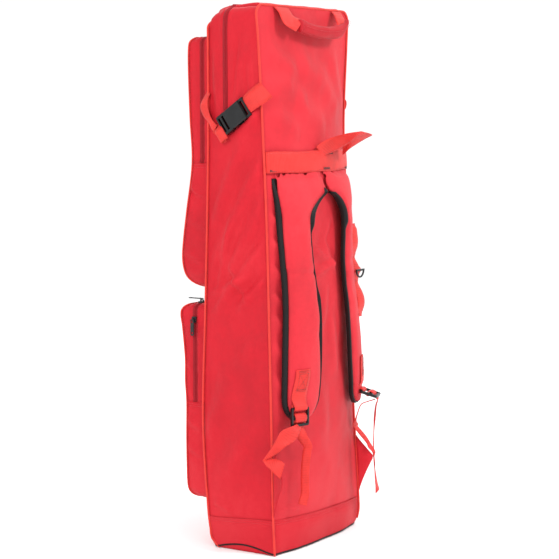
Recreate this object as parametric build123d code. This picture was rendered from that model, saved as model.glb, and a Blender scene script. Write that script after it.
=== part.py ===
from build123d import *
import math
import os

# Field-hockey stick bag, worn as a backpack.  Millimetres, +Z up.
# The origin is the centre of the base's underside, the pockets face -Y and the
# padded back with the shoulder straps faces +Y, so the wearer's right is +X.

# ---- driving dimensions -------------------------------------------------
HEIGHT = 978.0
BASE_HALF_WIDTH = 150.0
TOP_HALF_WIDTH = 158.0
# height, front face y, back seam y, outward bulge of the back panel
STATIONS = [
    (0.0, -64.0, 68.0, 3.0),
    (64.0, -74.0, 65.0, 14.0),
    (230.0, -84.0, 62.0, 28.0),
    (430.0, -77.0, 58.0, 38.0),
    (600.0, -71.0, 54.0, 40.0),
    (760.0, -67.0, 47.0, 32.0),
    (925.0, -66.0, 38.0, 12.0),
    (HEIGHT, -66.0, 33.0, 2.0),
]
# height, how far the slack left back seam sags forward
SLACK = [
    (0.0, 0.0), (64.0, 0.0), (230.0, 9.0), (430.0, 14.0), (600.0, 19.0), (760.0, 21.0),
    (925.0, 7.0), (HEIGHT, 0.0),
]
CLOTH = 3.0                 # fabric with its backing
BACK_PAD = 10.0             # padded back panel
BOOT_TOP = 64.0             # top of the tough band round the base
BOARD_THICK = 4.0           # stiffener lying in the base
ROOF_FRONT_Z = 970.0        # top gusset at the zip
ROOF_THICK = 3.0
FLAP_HINGE_Z = 925.0        # fold line of the main flap
FLAP_NOSE_Z = 946.0         # where the flap's front face starts to round over
MAIN_ZIP_Y = -28.0
MAIN_ZIP_END_Z = 770.0
PIPING = 4.0                # piping section, square across flats
SEAM_GAP = 0.5              # clearance along every fold line

POCKET_HALF_WIDTH = 139.0
UPPER_FOLD_Z = 700.0
UPPER_ZIP_Y = -93.0
LOWER_TOP_Z = 440.0
LOWER_FOLD_Z = 262.0
LOWER_ZIP_Y = -111.0
ZIP_TAPE = 12.0             # zip width, both tapes and the coil
TAPE_THICK = 1.2

BAND_BOTTOM_Z = 684.0
BAND_WIDTH = 38.0           # 38 mm webbing
BAND_LIFT = 0.6
WEB = 2.0                   # webbing thickness
YOKE_BOTTOM_Z = 650.0
YOKE_RIGHT = 141.0
YOKE_LEFT = -124.0
STRAP_PAD = 12.0
YOKE_STANDOFF = 1.0
NARROW_WEB = 25.0
EDGE_WEB = 30.0

BUCKLE_TILT = 35.0          # the compression strap rises to the rear
BUCKLE_WIDTH = 37.0
BUCKLE_THICK = 12.0
SEAM_REACH = 2.5            # how far a sewn-in strap starts outside the seam
SEAM_INSET = 13.0           # and how far inside the panel's front edge
REAR_INSET = 11.5           # or its rear edge
ZIP_GAP = 0.2               # from the zip line to the edge of the fixed tape
FREE_GAP = 0.4              # and to the edge of the tape that is let go


# ---- outline of the bag ---------------------------------------------------
def half_width(z):
    return BASE_HALF_WIDTH + (TOP_HALF_WIDTH - BASE_HALF_WIDTH) * z / HEIGHT


def station(z):
    """Front y, back seam y and back bulge at height z."""
    for low, high in zip(STATIONS, STATIONS[1:]):
        if z <= high[0]:
            t = (z - low[0]) / (high[0] - low[0])
            return tuple(a + (b - a) * t for a, b in zip(low[1:], high[1:]))
    return STATIONS[-1][1:]


def seam_y(side, z):
    """The back seam on the right or left at height z."""
    edge = station(z)[1]
    if side > 0:
        return edge
    for low, high in zip(SLACK, SLACK[1:]):
        if z <= high[0]:
            return edge - low[1] - (high[1] - low[1]) * (z - low[0]) / (high[0] - low[0])
    return edge


def back_middle(z):
    return (seam_y(1, z) + seam_y(-1, z)) / 2 + station(z)[2]


def back_y(x, z):
    """Outer surface of the back panel: an arc through both side seams and the middle."""
    half = half_width(z) - CLOTH
    right, left, middle = seam_y(1, z), seam_y(-1, z), back_middle(z)
    # centre of the circle through (half, right), (0, middle) and (-half, left)
    slope = (right - left) / (2 * half)
    bulge = middle - (right + left) / 2
    rise = (half ** 2 - bulge ** 2 + (right - left) ** 2 / 4) / (2 * bulge)
    cy = (right + left) / 2 - rise
    cx = (right - left) * ((right + left) / 2 - cy) / (2 * half)
    radius = math.hypot(cx, middle - cy)
    reach = max(-half, min(half, x))
    return cy + math.sqrt(radius ** 2 - (reach - cx) ** 2)


def heights(low, high):
    inner = [s[0] for s in STATIONS if low + 1.0 < s[0] < high - 1.0]
    return [low] + inner + [high]


# ---- small builders -------------------------------------------------------
def flat_section(points):
    return make_face(Polyline(points, close=True))


def level_box(z, x0, x1, y0, y1):
    return flat_section([(x0, y0, z), (x1, y0, z), (x1, y1, z), (x0, y1, z)])


def arc_section(z, x_side, lift, thick):
    """Closed band between two parallel arcs over the back, seen from above."""
    ends = [(x, back_y(x, z) + lift) for x in (-x_side, 0, x_side)]
    outer = ThreePointArc(*[(x, y, z) for x, y in ends])
    inner = ThreePointArc(*[(x, y - thick, z) for x, y in ends[::-1]])
    right = Line((x_side, ends[2][1], z), (x_side, ends[2][1] - thick, z))
    left = Line((-x_side, ends[0][1] - thick, z), (-x_side, ends[0][1], z))
    return Face(Wire([outer, right, inner, left]))


def ruled(sections):
    return loft(sections, ruled=True)


def block(x0, x1, y0, y1, z0, z1):
    size = (x1 - x0, y1 - y0, z1 - z0)
    middle = ((x0 + x1) / 2, (y0 + y1) / 2, (z0 + z1) / 2)
    return Pos(*middle) * Box(*size)


def yz_prism(points, x0, x1):
    """Extrude an outline given as (y, z) points from x0 to x1."""
    outline = flat_section([(x0, y, z) for y, z in points])
    return extrude(outline, amount=x1 - x0, dir=(1, 0, 0))


def join(solids):
    result = solids[0]
    for solid in solids[1:]:
        result = result + solid
    return result


def group(solids):
    return Compound(children=list(solids))


def band_between(points, width_dir, width, thick_dir, thick, end_width=None):
    """Flat webbing lofted through the given points, narrowing to end_width if given."""
    t = Vector(*thick_dir).normalized() * (thick / 2)
    last = width if end_width is None else end_width
    faces = []
    for k, p in enumerate(points):
        reach = width + (last - width) * k / (len(points) - 1)
        w = Vector(*width_dir).normalized() * (reach / 2)
        c = Vector(*p)
        corners = [c - w - t, c + w - t, c + w + t, c - w + t]
        faces.append(flat_section([(v.X, v.Y, v.Z) for v in corners]))
    return ruled(faces)


# ---- main shell -----------------------------------------------------------
def base_panel():
    front, edge, _ = station(0)
    return block(-BASE_HALF_WIDTH + 2, BASE_HALF_WIDTH - 2, front + 2, edge - 2, 0, CLOTH)


def base_board():
    front, edge, _ = station(0)
    inset = CLOTH + BACK_PAD
    return block(
        -BASE_HALF_WIDTH + inset, BASE_HALF_WIDTH - inset, front + inset, edge - inset,
        CLOTH, CLOTH + BOARD_THICK,
    )


def front_wall(low, high):
    faces = []
    for z in heights(low, high):
        front = station(z)[0]
        faces.append(level_box(z, -half_width(z), half_width(z), front, front + CLOTH))
    return ruled(faces)


def side_wall(side, low, high, front_edge=None):
    faces = []
    for z in heights(low, high):
        y0 = station(z)[0] + CLOTH if front_edge is None else front_edge
        outer = side * half_width(z)
        inner = side * (half_width(z) - CLOTH)
        faces.append(level_box(z, min(outer, inner), max(outer, inner), y0, seam_y(side, z)))
    return ruled(faces)


def back_wall(low, high):
    return ruled([arc_section(z, half_width(z) - CLOTH, 0, BACK_PAD) for z in heights(low, high)])


def boot():
    low = CLOTH
    walls = [front_wall(low, BOOT_TOP), back_wall(low, BOOT_TOP)]
    walls += [side_wall(side, low, BOOT_TOP) for side in (1, -1)]
    return join(walls)


def side_panel(side):
    lower = side_wall(side, BOOT_TOP, FLAP_HINGE_Z)
    upper = side_wall(side, FLAP_HINGE_Z, ROOF_FRONT_Z - ROOF_THICK, MAIN_ZIP_Y)
    return join([lower, upper])


def roof_rear():
    """Rear half of the top gusset, rising slightly to the back seam."""
    edge = station(HEIGHT)[1]
    x = half_width(HEIGHT)
    rear_z = HEIGHT - 3
    points = [
        (MAIN_ZIP_Y, ROOF_FRONT_Z - ROOF_THICK), (edge - BACK_PAD, rear_z - ROOF_THICK),
        (edge - BACK_PAD, rear_z), (MAIN_ZIP_Y, ROOF_FRONT_Z),
    ]
    return yz_prism(points, -x, x)


def edge_strand(side, at_front, low, high):
    """One vertical run of piping along a seam of the body."""
    faces = []
    for z in heights(low, high):
        x0 = side * half_width(z)
        y0 = station(z)[0] if at_front else seam_y(side, z)
        x1 = x0 + side * PIPING
        y1 = y0 - PIPING / 2 if at_front else y0 + PIPING / 2
        y2 = y0 + PIPING / 2 if at_front else y0 - PIPING / 2
        faces.append(level_box(z, min(x0, x1), max(x0, x1), min(y1, y2), max(y1, y2)))
    return ruled(faces)


def rear_piping():
    edge = station(HEIGHT)[1]
    x = half_width(HEIGHT)
    strands = [edge_strand(side, False, PIPING, HEIGHT) for side in (1, -1)]
    half = PIPING / 2
    strands.append(block(-x - PIPING, x + PIPING, edge - half, edge + half, HEIGHT, HEIGHT + PIPING))
    return group(strands)


def front_piping():
    return group([edge_strand(side, True, PIPING, FLAP_HINGE_Z) for side in (1, -1)])


def base_binding():
    """Black tape that binds the seam round the base's underside."""
    front, edge, _ = station(0)
    x = BASE_HALF_WIDTH
    ring = block(-x - 2, x + 2, front - 2, edge + 2, 0.2, CLOTH - 0.2)
    hole = block(-x + 2, x - 2, front + 2, edge - 2, -1, CLOTH + 1)
    return ring - hole


def anchor_band():
    """Webbing sewn across the back, carrying the yoke and the grab loop."""
    ends = (BAND_BOTTOM_Z, BAND_BOTTOM_Z + BAND_WIDTH)
    return ruled([arc_section(z, half_width(z) - 6, BAND_LIFT + WEB, WEB) for z in ends])


# ---- main flap and its zip ------------------------------------------------
def flap_front():
    x = TOP_HALF_WIDTH - 1
    front = station(FLAP_HINGE_Z)[0]
    return block(-x, x, front, front + CLOTH, FLAP_HINGE_Z + SEAM_GAP, FLAP_NOSE_Z)


def flap_gusset():
    """Strip that runs up one side, over the nose of the bag and down the other."""
    front = station(FLAP_HINGE_Z)[0]
    low = FLAP_HINGE_Z + SEAM_GAP
    x = TOP_HALF_WIDTH - 1
    rear = MAIN_ZIP_Y - FREE_GAP
    outer = [
        (front, FLAP_NOSE_Z), (front + 3, FLAP_NOSE_Z + 11), (front + 12, ROOF_FRONT_Z - 4),
        (rear, ROOF_FRONT_Z), (rear, ROOF_FRONT_Z - ROOF_THICK),
        (front + 14, ROOF_FRONT_Z - 7), (front + 6, FLAP_NOSE_Z + 9), (front + CLOTH, FLAP_NOSE_Z),
    ]
    nose = yz_prism(outer, -x, x)
    cheek = [
        (front + CLOTH, low), (rear, low), (rear, ROOF_FRONT_Z - ROOF_THICK),
        (front + 14, ROOF_FRONT_Z - 7), (front + 6, FLAP_NOSE_Z + 9), (front + CLOTH, FLAP_NOSE_Z),
    ]
    cheeks = [yz_prism(cheek, x - CLOTH, x), yz_prism(cheek, -x, -x + CLOTH)]
    return join([nose] + cheeks)


def flap_piping():
    front = station(FLAP_HINGE_Z)[0]
    x = TOP_HALF_WIDTH - 1
    half = PIPING / 2
    outline = [
        (front - half, FLAP_HINGE_Z + 4), (front - half, FLAP_NOSE_Z), (front + 1, FLAP_NOSE_Z + 12),
        (front + 11, ROOF_FRONT_Z - 2), (front + 13, ROOF_FRONT_Z - 5),
        (front + 5, FLAP_NOSE_Z + 9), (front + half, FLAP_NOSE_Z), (front + half, FLAP_HINGE_Z + 4),
    ]
    return group([yz_prism(outline, x, x + PIPING), yz_prism(outline, -x - PIPING, -x)])


def main_zip_fixed():
    """Closed lower run of the zip, and its rear tape from the fold line over the roof."""
    pieces = []
    for side in (1, -1):
        for low, high, y0, y1 in (
            (MAIN_ZIP_END_Z, FLAP_HINGE_Z, MAIN_ZIP_Y - ZIP_TAPE / 2, MAIN_ZIP_Y + ZIP_TAPE / 2),
            (FLAP_HINGE_Z + 1, ROOF_FRONT_Z - 4, MAIN_ZIP_Y + ZIP_GAP, MAIN_ZIP_Y + ZIP_TAPE / 2),
        ):
            faces = []
            for z in (low, high):
                x0 = side * (half_width(z) + 0.1)
                x1 = side * (half_width(z) + 0.1 + TAPE_THICK)
                faces.append(level_box(z, min(x0, x1), max(x0, x1), y0, y1))
            pieces.append(ruled(faces))
    x = half_width(HEIGHT)
    z0 = ROOF_FRONT_Z + 0.8
    pieces.append(block(-x, x, MAIN_ZIP_Y + ZIP_GAP, MAIN_ZIP_Y + ZIP_TAPE / 2, z0, z0 + TAPE_THICK))
    return group(pieces)


def main_zip_flap():
    x = TOP_HALF_WIDTH - 1
    y0 = MAIN_ZIP_Y - ZIP_TAPE / 2
    y1 = MAIN_ZIP_Y - FREE_GAP
    low = FLAP_HINGE_Z + 1
    pieces = [
        block(x, x + TAPE_THICK, y0, y1, low, ROOF_FRONT_Z - 4),
        block(-x - TAPE_THICK, -x, y0, y1, low, ROOF_FRONT_Z - 4),
        block(-x, x, y0, y1, ROOF_FRONT_Z + 0.2, ROOF_FRONT_Z + 0.2 + TAPE_THICK),
    ]
    return group(pieces)


# ---- pockets --------------------------------------------------------------
# height, front face y
UPPER_FACE = [(476.0, -122.0), (520.0, -136.0), (610.0, -128.0), (700.0, -115.0), (924.0, -123.0)]
LOWER_FACE = [(86.0, -126.0), (130.0, -140.0), (262.0, -143.0), (440.0, -139.0)]


def face_y(profile, z):
    for low, high in zip(profile, profile[1:]):
        if z <= high[0]:
            t = (z - low[0]) / (high[0] - low[0])
            return low[1] + (high[1] - low[1]) * t
    return profile[-1][1]


def body_front(z):
    """The pocket's inner edges lie on the bag's front face."""
    return station(z)[0] - 0.3


def pocket_shell(outer, inner):
    """Prism across the pocket's width, hollowed between its two side walls."""
    x = POCKET_HALF_WIDTH
    return yz_prism(outer, -x, x) - yz_prism(inner, -x + CLOTH, x - CLOTH)


def pocket_basin(profile, fold_z):
    """Sewn lower part: front, sides and bottom, open at the back and at the fold line."""
    bottom_z = profile[0][0]
    floor_z = bottom_z - CLOTH
    face = [(y, z) for z, y in profile if z < fold_z] + [(face_y(profile, fold_z), fold_z)]
    seam = [(body_front(z), z) for z in heights(floor_z, fold_z)]
    outer = [(face[0][0] + 4, floor_z)] + face + seam[::-1]
    inner = [(y + CLOTH, z) for y, z in face]
    inner += [(face[-1][0] + CLOTH, fold_z + 1), (0, fold_z + 1), (0, bottom_z)]
    return pocket_shell(outer, inner)


def pocket_strip(profile, fold_z, zip_y):
    """Gusset strip between the bag and the zip, up both sides and across the top."""
    top_z = profile[-1][0]
    seam = [(body_front(z), z) for z in heights(fold_z, top_z)]
    outer = [(zip_y, fold_z), (zip_y, top_z)] + seam[::-1]
    inner = [(zip_y - 1, fold_z - 1), (zip_y - 1, top_z - CLOTH), (0, top_z - CLOTH), (0, fold_z - 1)]
    return pocket_shell(outer, inner)


def pocket_flap(profile, fold_z, zip_y):
    """Front part that the zip frees: it folds forward about the fold line."""
    top_z = profile[-1][0]
    low = fold_z + SEAM_GAP
    rear = zip_y - FREE_GAP
    face_low = face_y(profile, low)
    face_top = face_y(profile, top_z)
    outer = [(face_low, low), (face_top, top_z), (rear, top_z), (rear, low)]
    inner = [
        (face_low + CLOTH, low - 1), (face_top + CLOTH, top_z - CLOTH),
        (rear + 1, top_z - CLOTH), (rear + 1, low - 1),
    ]
    return pocket_shell(outer, inner)


def pocket_zip(profile, fold_z, zip_y):
    """Rear tape with the coil, lying on the fixed strip behind the zip line."""
    x = POCKET_HALF_WIDTH
    top_z = profile[-1][0]
    y0, y1 = zip_y + ZIP_GAP, zip_y + ZIP_TAPE / 2
    parts = [
        block(x, x + TAPE_THICK, y0, y1, fold_z + 1, top_z),
        block(-x - TAPE_THICK, -x, y0, y1, fold_z + 1, top_z),
        block(-x, x, y0, y1, top_z, top_z + TAPE_THICK),
    ]
    return group(parts)


# ---- zip sliders and pullers ----------------------------------------------
def slider(length=11.0, width=9.0, thick=4.5, turn=0):
    """Slider lying in its own frame: travels along Z, stands out along +X."""
    body = block(0.3, thick, -width / 2, width / 2, -length / 2, length / 2)
    waist = [block(0.2, thick + 1, s * 4.5 - 1.2, s * 4.5 + 1.2, -length, -1.5) for s in (1, -1)]
    body = body - waist[0] - waist[1]
    bridge = block(thick, thick + 3.5, -1.3, 1.3, -3.5, 3.5)
    slot = block(thick, thick + 1.9, -2, 2, -1.6, 1.6)
    return body + Rot(turn, 0, 0) * (bridge - slot)


def puller(length=30.0, width=7.0, thick=1.6, thick_slider=4.5):
    """Flat pull tab hung in the slider's bridge, with a round eye at the end."""
    z_top = 1.1
    x0 = thick_slider + 4.1
    neck = block(x0, x0 + thick, -3.6, 3.6, z_top - 9, z_top)
    gap = block(x0 - 1, x0 + 3, -1.9, 1.9, z_top - 6.5, z_top - 1.4)
    tab = block(x0, x0 + thick, -width / 2, width / 2, z_top - length, z_top - 8)
    eye = Pos(x0, 0, z_top - length + 5) * Rot(0, 90, 0) * Cylinder(2.0, 8)
    tab = fillet(tab.edges().filter_by(Axis.X), 2.4) - eye
    return (neck - gap) + tab


# ---- padded harness -------------------------------------------------------
# height, inner edge x, outer edge x, stand-off from the back panel
RIGHT_STRAP = [
    (641.0, 36.0, 139.0, 3.0), (606.0, 60.0, 138.5, 4.0), (528.0, 60.0, 136.0, 7.0),
    (438.0, 51.0, 133.0, 9.0), (330.0, 47.0, 134.0, 8.0), (268.0, 51.0, 134.0, 6.0),
    (244.0, 68.0, 120.0, 5.0),
]
LEFT_STRAP = [
    (641.0, -18.0, -134.0, 3.0), (606.0, -24.0, -116.0, 5.0), (528.0, -30.0, -108.0, 9.0),
    (438.0, -44.0, -122.0, 13.0), (330.0, -62.0, -139.0, 13.0), (268.0, -78.0, -148.0, 11.0),
    (244.0, -92.0, -134.0, 9.0),
]


def pad_corners(x, z, standoff):
    """Inner and outer surface points of the padding above the back panel at (x, z)."""
    y = back_y(x, z) + standoff
    return (x, y, z), (x, y + STRAP_PAD, z)


def strap_pad(stations):
    faces = []
    for z, x_in, x_out, standoff in stations:
        a0, a1 = pad_corners(x_in, z, standoff)
        middle = (x_in + x_out) / 2
        m0, m1 = pad_corners(middle, z, standoff)
        b0, b1 = pad_corners(x_out, z, standoff)
        faces.append(flat_section([a0, m0, b0, b1, m1, a1]))
    return ruled(faces)


def strap_binding(stations):
    """Black tape folded over both long edges."""
    pieces = []
    for index, outward in ((1, -1.0), (2, 1.0)):
        faces = []
        for row in stations:
            z, standoff = row[0], row[3]
            sign = outward if row[2] > row[1] else -outward
            x = row[index]
            near, far = x + sign * 0.2, x + sign * 2.7
            lo, hi = min(near, far), max(near, far)
            y = back_y(x, z) + standoff
            faces.append(level_box(z, lo, hi, y + 0.5, y + STRAP_PAD - 0.5))
        pieces.append(ruled(faces))
    return group(pieces)


def yoke():
    """Padded yoke under the band, out of which the two shoulder straps run."""
    faces = []
    for z in (YOKE_BOTTOM_Z, BAND_BOTTOM_Z - 1):
        across = [YOKE_LEFT + (YOKE_RIGHT - YOKE_LEFT) * i / 10 for i in range(11)]
        inner = [(x, back_y(x, z) + YOKE_STANDOFF, z) for x in across]
        outer = [(x, back_y(x, z) + YOKE_STANDOFF + STRAP_PAD, z) for x in across]
        faces.append(flat_section(inner + outer[::-1]))
    return ruled(faces)


def strap_surface(stations, z):
    """Middle of the strap and its outer face at height z."""
    for high, low in zip(stations, stations[1:]):
        if z >= low[0]:
            t = (z - low[0]) / (high[0] - low[0])
            x = ((low[1] + low[2]) * (1 - t) + (high[1] + high[2]) * t) / 2
            standoff = low[3] * (1 - t) + high[3] * t
            return x, back_y(x, z) + standoff + STRAP_PAD
    x = (stations[-1][1] + stations[-1][2]) / 2
    return x, back_y(x, stations[-1][0]) + stations[-1][3] + STRAP_PAD


RIGHT_WEB_OFFSET = 19.0     # the right webbing runs outward of the strap's middle
RIGHT_WEB_TURN = 22.0       # degrees it faces outward with the strap's surface
LEFT_WEB_TURN = -17.0
LOCK_TOP_Z = 268.0
LOCK_HEIGHT = 34.0
LOCK_WIDTH = 38.0
LOCK_THICK = 5.0
LOCK_LIFT = 7.8             # middle of the adjuster above the strap's face
LOCK_PIVOT_DROP = 2.0       # its hinge, in the middle of the top bar
LEFT_LOCK_TILT = 74.0       # the left adjuster is pushed out by its stiff webbing
PATCH_TOP_Z = 333.0
PATCH_LIFT = 2.9
HEM_HEIGHT = 10.0           # rolled end of the free webbing
HEM_THICK = 5.0
TAIL_GAP = 3.0


def web_turn(stations):
    return RIGHT_WEB_TURN if stations is RIGHT_STRAP else LEFT_WEB_TURN


def web_axes(stations):
    """Directions across the adjusting webbing and out of its face."""
    turn = math.radians(web_turn(stations))
    return (math.cos(turn), -math.sin(turn), 0), (math.sin(turn), math.cos(turn), 0)


def web_place(stations, z, lift):
    """Point standing lift outside the strap, on the line of its adjusting webbing."""
    x, y = strap_surface(stations, z)
    if stations is RIGHT_STRAP:
        y += back_y(x + RIGHT_WEB_OFFSET, z) - back_y(x, z)
        x += RIGHT_WEB_OFFSET
    out = web_axes(stations)[1]
    return x + out[0] * lift, y + out[1] * lift


def strap_patch(stations):
    """Webbing box-stitched on the strap, running down to the ladder-lock."""
    across, out = web_axes(stations)
    heights_down = (LOCK_TOP_Z + 3, 300.0, PATCH_TOP_Z)
    points = [web_place(stations, z, PATCH_LIFT + WEB) + (z,) for z in heights_down]
    return band_between(points, across, EDGE_WEB, out, WEB)


def lock_place(stations):
    return web_place(stations, LOCK_TOP_Z, LOCK_LIFT)


def lock_tilt(stations):
    return LEFT_LOCK_TILT if stations is LEFT_STRAP else 0.0


def lock_foot(stations):
    """Middle of the adjuster's lower end, where the free tail leaves it."""
    x, y = lock_place(stations)
    out = web_axes(stations)[1]
    tilt = math.radians(lock_tilt(stations))
    reach = LOCK_HEIGHT - LOCK_PIVOT_DROP
    away, z = reach * math.sin(tilt), LOCK_TOP_Z - LOCK_PIVOT_DROP - reach * math.cos(tilt)
    return x + out[0] * away, y + out[1] * away, z


def ladder_lock(stations):
    """Moulded three-bar adjuster; the top bar carries it in the sewn loop."""
    x, y = lock_place(stations)
    z0 = LOCK_TOP_Z - LOCK_HEIGHT
    half, depth = LOCK_WIDTH / 2, LOCK_THICK / 2
    frame = block(x - half, x + half, y - depth, y + depth, z0, LOCK_TOP_Z)
    frame = fillet(frame.edges().filter_by(Axis.Y), 4.0)
    for low, high in ((4.0, 11.5), (18.0, 29.5)):
        frame = frame - block(x - half + 3.5, x + half - 3.5, y - 4, y + 4, z0 + low, z0 + high)
    pivot = (x, y, LOCK_TOP_Z - LOCK_PIVOT_DROP)
    frame = frame.rotate(Axis(pivot, (1, 0, 0)), lock_tilt(stations))
    return frame.rotate(Axis(pivot, (0, 0, 1)), -web_turn(stations))


def hanging_tail(stations, foot_z):
    """Free end of the adjusting webbing, with a rolled hem."""
    x, y, top = lock_foot(stations)
    top -= TAIL_GAP
    y += TAIL_GAP if lock_tilt(stations) else 0
    half, depth = NARROW_WEB / 2, HEM_THICK / 2
    ribbon = block(x - half, x + half, y - WEB / 2, y + WEB / 2, foot_z, top)
    hem = block(x - half, x + half, y - depth, y + depth, foot_z, foot_z + HEM_HEIGHT)
    return (ribbon + hem).rotate(Axis((x, y, top), (0, 0, 1)), -web_turn(stations))


def wing(side, low, high, tip_z, reach):
    """Triangle of cloth sewn into the back seam; the adjusting webbing starts at its tip."""
    root = Vector(side * (BASE_HALF_WIDTH + 1.5), seam_y(side, (low + high) / 2) + 6.0, 0)
    tip = root + Vector(side * 20.0, reach, 0)
    outline = [
        (root.X, root.Y, low), (tip.X, tip.Y, tip_z - 12),
        (tip.X, tip.Y, tip_z + 12), (root.X, root.Y, high),
    ]
    return extrude(flat_section(outline), amount=WEB)


# foot, head and tip height of each wing, and how far its tip stands out behind
WING_RIGHT = (70.0, 202.0, 138.0, 34.0)
WING_LEFT = (67.0, 170.0, 139.0, 25.0)
# where the webbing leaves the wing for the strap: out from the side, behind the seam, above the tip
ELBOW_RIGHT = (26.0, 32.0, 36.0)
ELBOW_LEFT = (20.0, 17.0, 60.0)


def lower_webbing(side, stations, wing_shape, elbow_at):
    """Adjusting webbing from the wing's tip, out past the side and up to the ladder-lock."""
    x_lock, y_lock, z_lock = lock_foot(stations)
    tip_z, reach = wing_shape[2:]
    edge = seam_y(side, tip_z)
    out, behind, above = elbow_at
    start = (side * (BASE_HALF_WIDTH + 25), edge + reach + 6, tip_z)
    elbow = (side * (BASE_HALF_WIDTH + out), edge + behind, tip_z + above)
    finish = (x_lock + side * 7, y_lock - 12, z_lock - 14)
    first = band_between([start, elbow], (0, 0.35, 1), NARROW_WEB, (1, 0, 0), WEB)
    climb = Vector(finish[0] - elbow[0], finish[1] - elbow[1], finish[2] - elbow[2])
    across = climb.cross(Vector(0, 1, 0))
    elbow_b = (elbow[0], elbow[1] + 1.0, elbow[2] + 2)
    second = band_between([elbow_b, finish], (across.X, across.Y, across.Z), NARROW_WEB, (0, 1, 0), WEB)
    return group([first, second])


# ---- utility strip and D-ring on the left strap ---------------------------
STRIP_TOP_Z = 583.0
STRIP_BOTTOM_Z = 409.0
RING_Z = 497.0
STRIP_LIFT = 5.4
STRIP_OFFSET = 20.0         # outward of the strap's middle line


def utility_strip():
    """Webbing sewn down the left strap in steps, slack between two of its rows."""
    x = strap_surface(LEFT_STRAP, RING_Z)[0] - STRIP_OFFSET
    inner = []
    outer = []
    for z, slack in (
        (STRIP_TOP_Z, 0), (565, 6), (545, 7), (527, 0), (RING_Z + 6, 0), (RING_Z - 6, 0), (468, 0),
        (448, 7), (428, 6), (STRIP_BOTTOM_Z, 0),
    ):
        y = back_y(x, z) + strap_standoff(z) + STRAP_PAD + STRIP_LIFT + slack
        inner.append((y, z))
        outer.append((y + WEB, z))
    return yz_prism(inner + outer[::-1], x - NARROW_WEB / 2, x + NARROW_WEB / 2)


def strap_standoff(z):
    for high, low in zip(LEFT_STRAP, LEFT_STRAP[1:]):
        if z >= low[0]:
            t = (z - low[0]) / (high[0] - low[0])
            return low[3] * (1 - t) + high[3] * t
    return LEFT_STRAP[-1][3]


def ring_place():
    x = strap_surface(LEFT_STRAP, RING_Z)[0] - STRIP_OFFSET
    y = back_y(x, RING_Z) + strap_standoff(RING_Z) + STRAP_PAD + STRIP_LIFT + WEB + 3.2
    return x, y


def d_ring():
    x, y = ring_place()
    wire = 1.7
    bar = block(x - 14, x + 14, y - wire, y + wire, RING_Z - wire, RING_Z + wire)
    bow = Pos(x, y, RING_Z) * Rot(90, 0, 0) * Torus(13, wire)
    bow = bow & block(x - 20, x + 20, y - 5, y + 5, RING_Z - 20, RING_Z)
    return bar + bow


# ---- handles --------------------------------------------------------------
HANDLE_X = -18.0
HANDLE_HALF_SPAN = 100.0
HANDLE_PIVOT = (station(HEIGHT)[1] + 3.0, HEIGHT - 2.0)
HANDLE_GRIP = (66.0, 941.0)


def handle_leg(side):
    y0, z0 = HANDLE_PIVOT
    y1, z1 = HANDLE_GRIP
    x0 = HANDLE_X + side * HANDLE_HALF_SPAN
    x1 = HANDLE_X + side * (HANDLE_HALF_SPAN - 10)
    start = (x0, y0 + 4, z0 - 5)
    knee = (x0 - side * 4, y0 + 12, z0 - 17)
    finish = (x1, y1 + 2, z1 + 1)
    return band_between([start, knee, finish], (1, 0, 0), BAND_WIDTH, (0, 0.75, 0.65), WEB)


def handle_webbing():
    return group([handle_leg(side) for side in (1, -1)])


def handle_sleeve():
    """Folded cloth sleeve round the middle of the handle, sagging a little."""
    y, z = HANDLE_GRIP
    faces = []
    reach = HANDLE_HALF_SPAN - 30
    for t in (-1.0, -0.5, 0.0, 0.5, 1.0):
        x = HANDLE_X + t * reach
        drop = 9.0 * (1 - t * t)
        faces.append(
            flat_section([
                (x, y - 5, z - drop - 9), (x, y + 6, z - drop - 6),
                (x, y + 6, z - drop + 6), (x, y - 5, z - drop + 9),
            ])
        )
    return ruled(faces)


LOOP_X = -40.0
LOOP_Z = 745.0
LOOP_REACH = 77.0
LOOP_FOOT = 39.0            # from the loop's middle to the middle of each foot
LOOP_TIP_WIDTH = 20.0


def loop_pivot():
    return back_y(LOOP_X, LOOP_Z) + 2.0


def grab_loop():
    """Loop of wide webbing standing out from the band, pinched at its tip."""
    y = loop_pivot()
    legs = []
    for side in (1, -1):
        points = [
            (LOOP_X + side * 28, y + 16, LOOP_Z - 1), (LOOP_X + side * 14, y + 46, LOOP_Z + 2),
            (LOOP_X + side * 3.2, y + LOOP_REACH, LOOP_Z + 6),
        ]
        leg = band_between(points, (0, -0.1, 1), BAND_WIDTH - 2, (1, 0, 0), WEB, LOOP_TIP_WIDTH)
        legs.append(leg)
    tip, half = y + LOOP_REACH, LOOP_TIP_WIDTH / 2
    nose = block(LOOP_X - 4.2, LOOP_X + 4.2, tip - 1, tip + 2, LOOP_Z + 6 - half, LOOP_Z + 6 + half)
    return join(legs + [nose])


def grab_anchors():
    """Box-stitched feet of the grab loop on the band's upper edge."""
    half = BAND_WIDTH / 2
    feet = []
    for side in (1, -1):
        x = LOOP_X + side * LOOP_FOOT
        points = [(x, back_y(x, z) + 3.2, z) for z in (BAND_BOTTOM_Z + BAND_WIDTH + 1, LOOP_Z + half)]
        fall = back_y(x + half, LOOP_Z) - back_y(x - half, LOOP_Z)
        feet.append(band_between(points, (BAND_WIDTH, fall, 0), BAND_WIDTH, (-fall, BAND_WIDTH, 0), WEB))
    return group(feet)


# ---- compression straps ---------------------------------------------------
BUCKLE_Y = -6.0
BUCKLE_Z = 783.0


def buckle_y(side):
    """The left buckle sits further forward, with the seam it is pulled from."""
    return BUCKLE_Y if side > 0 else BUCKLE_Y - 10


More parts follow.
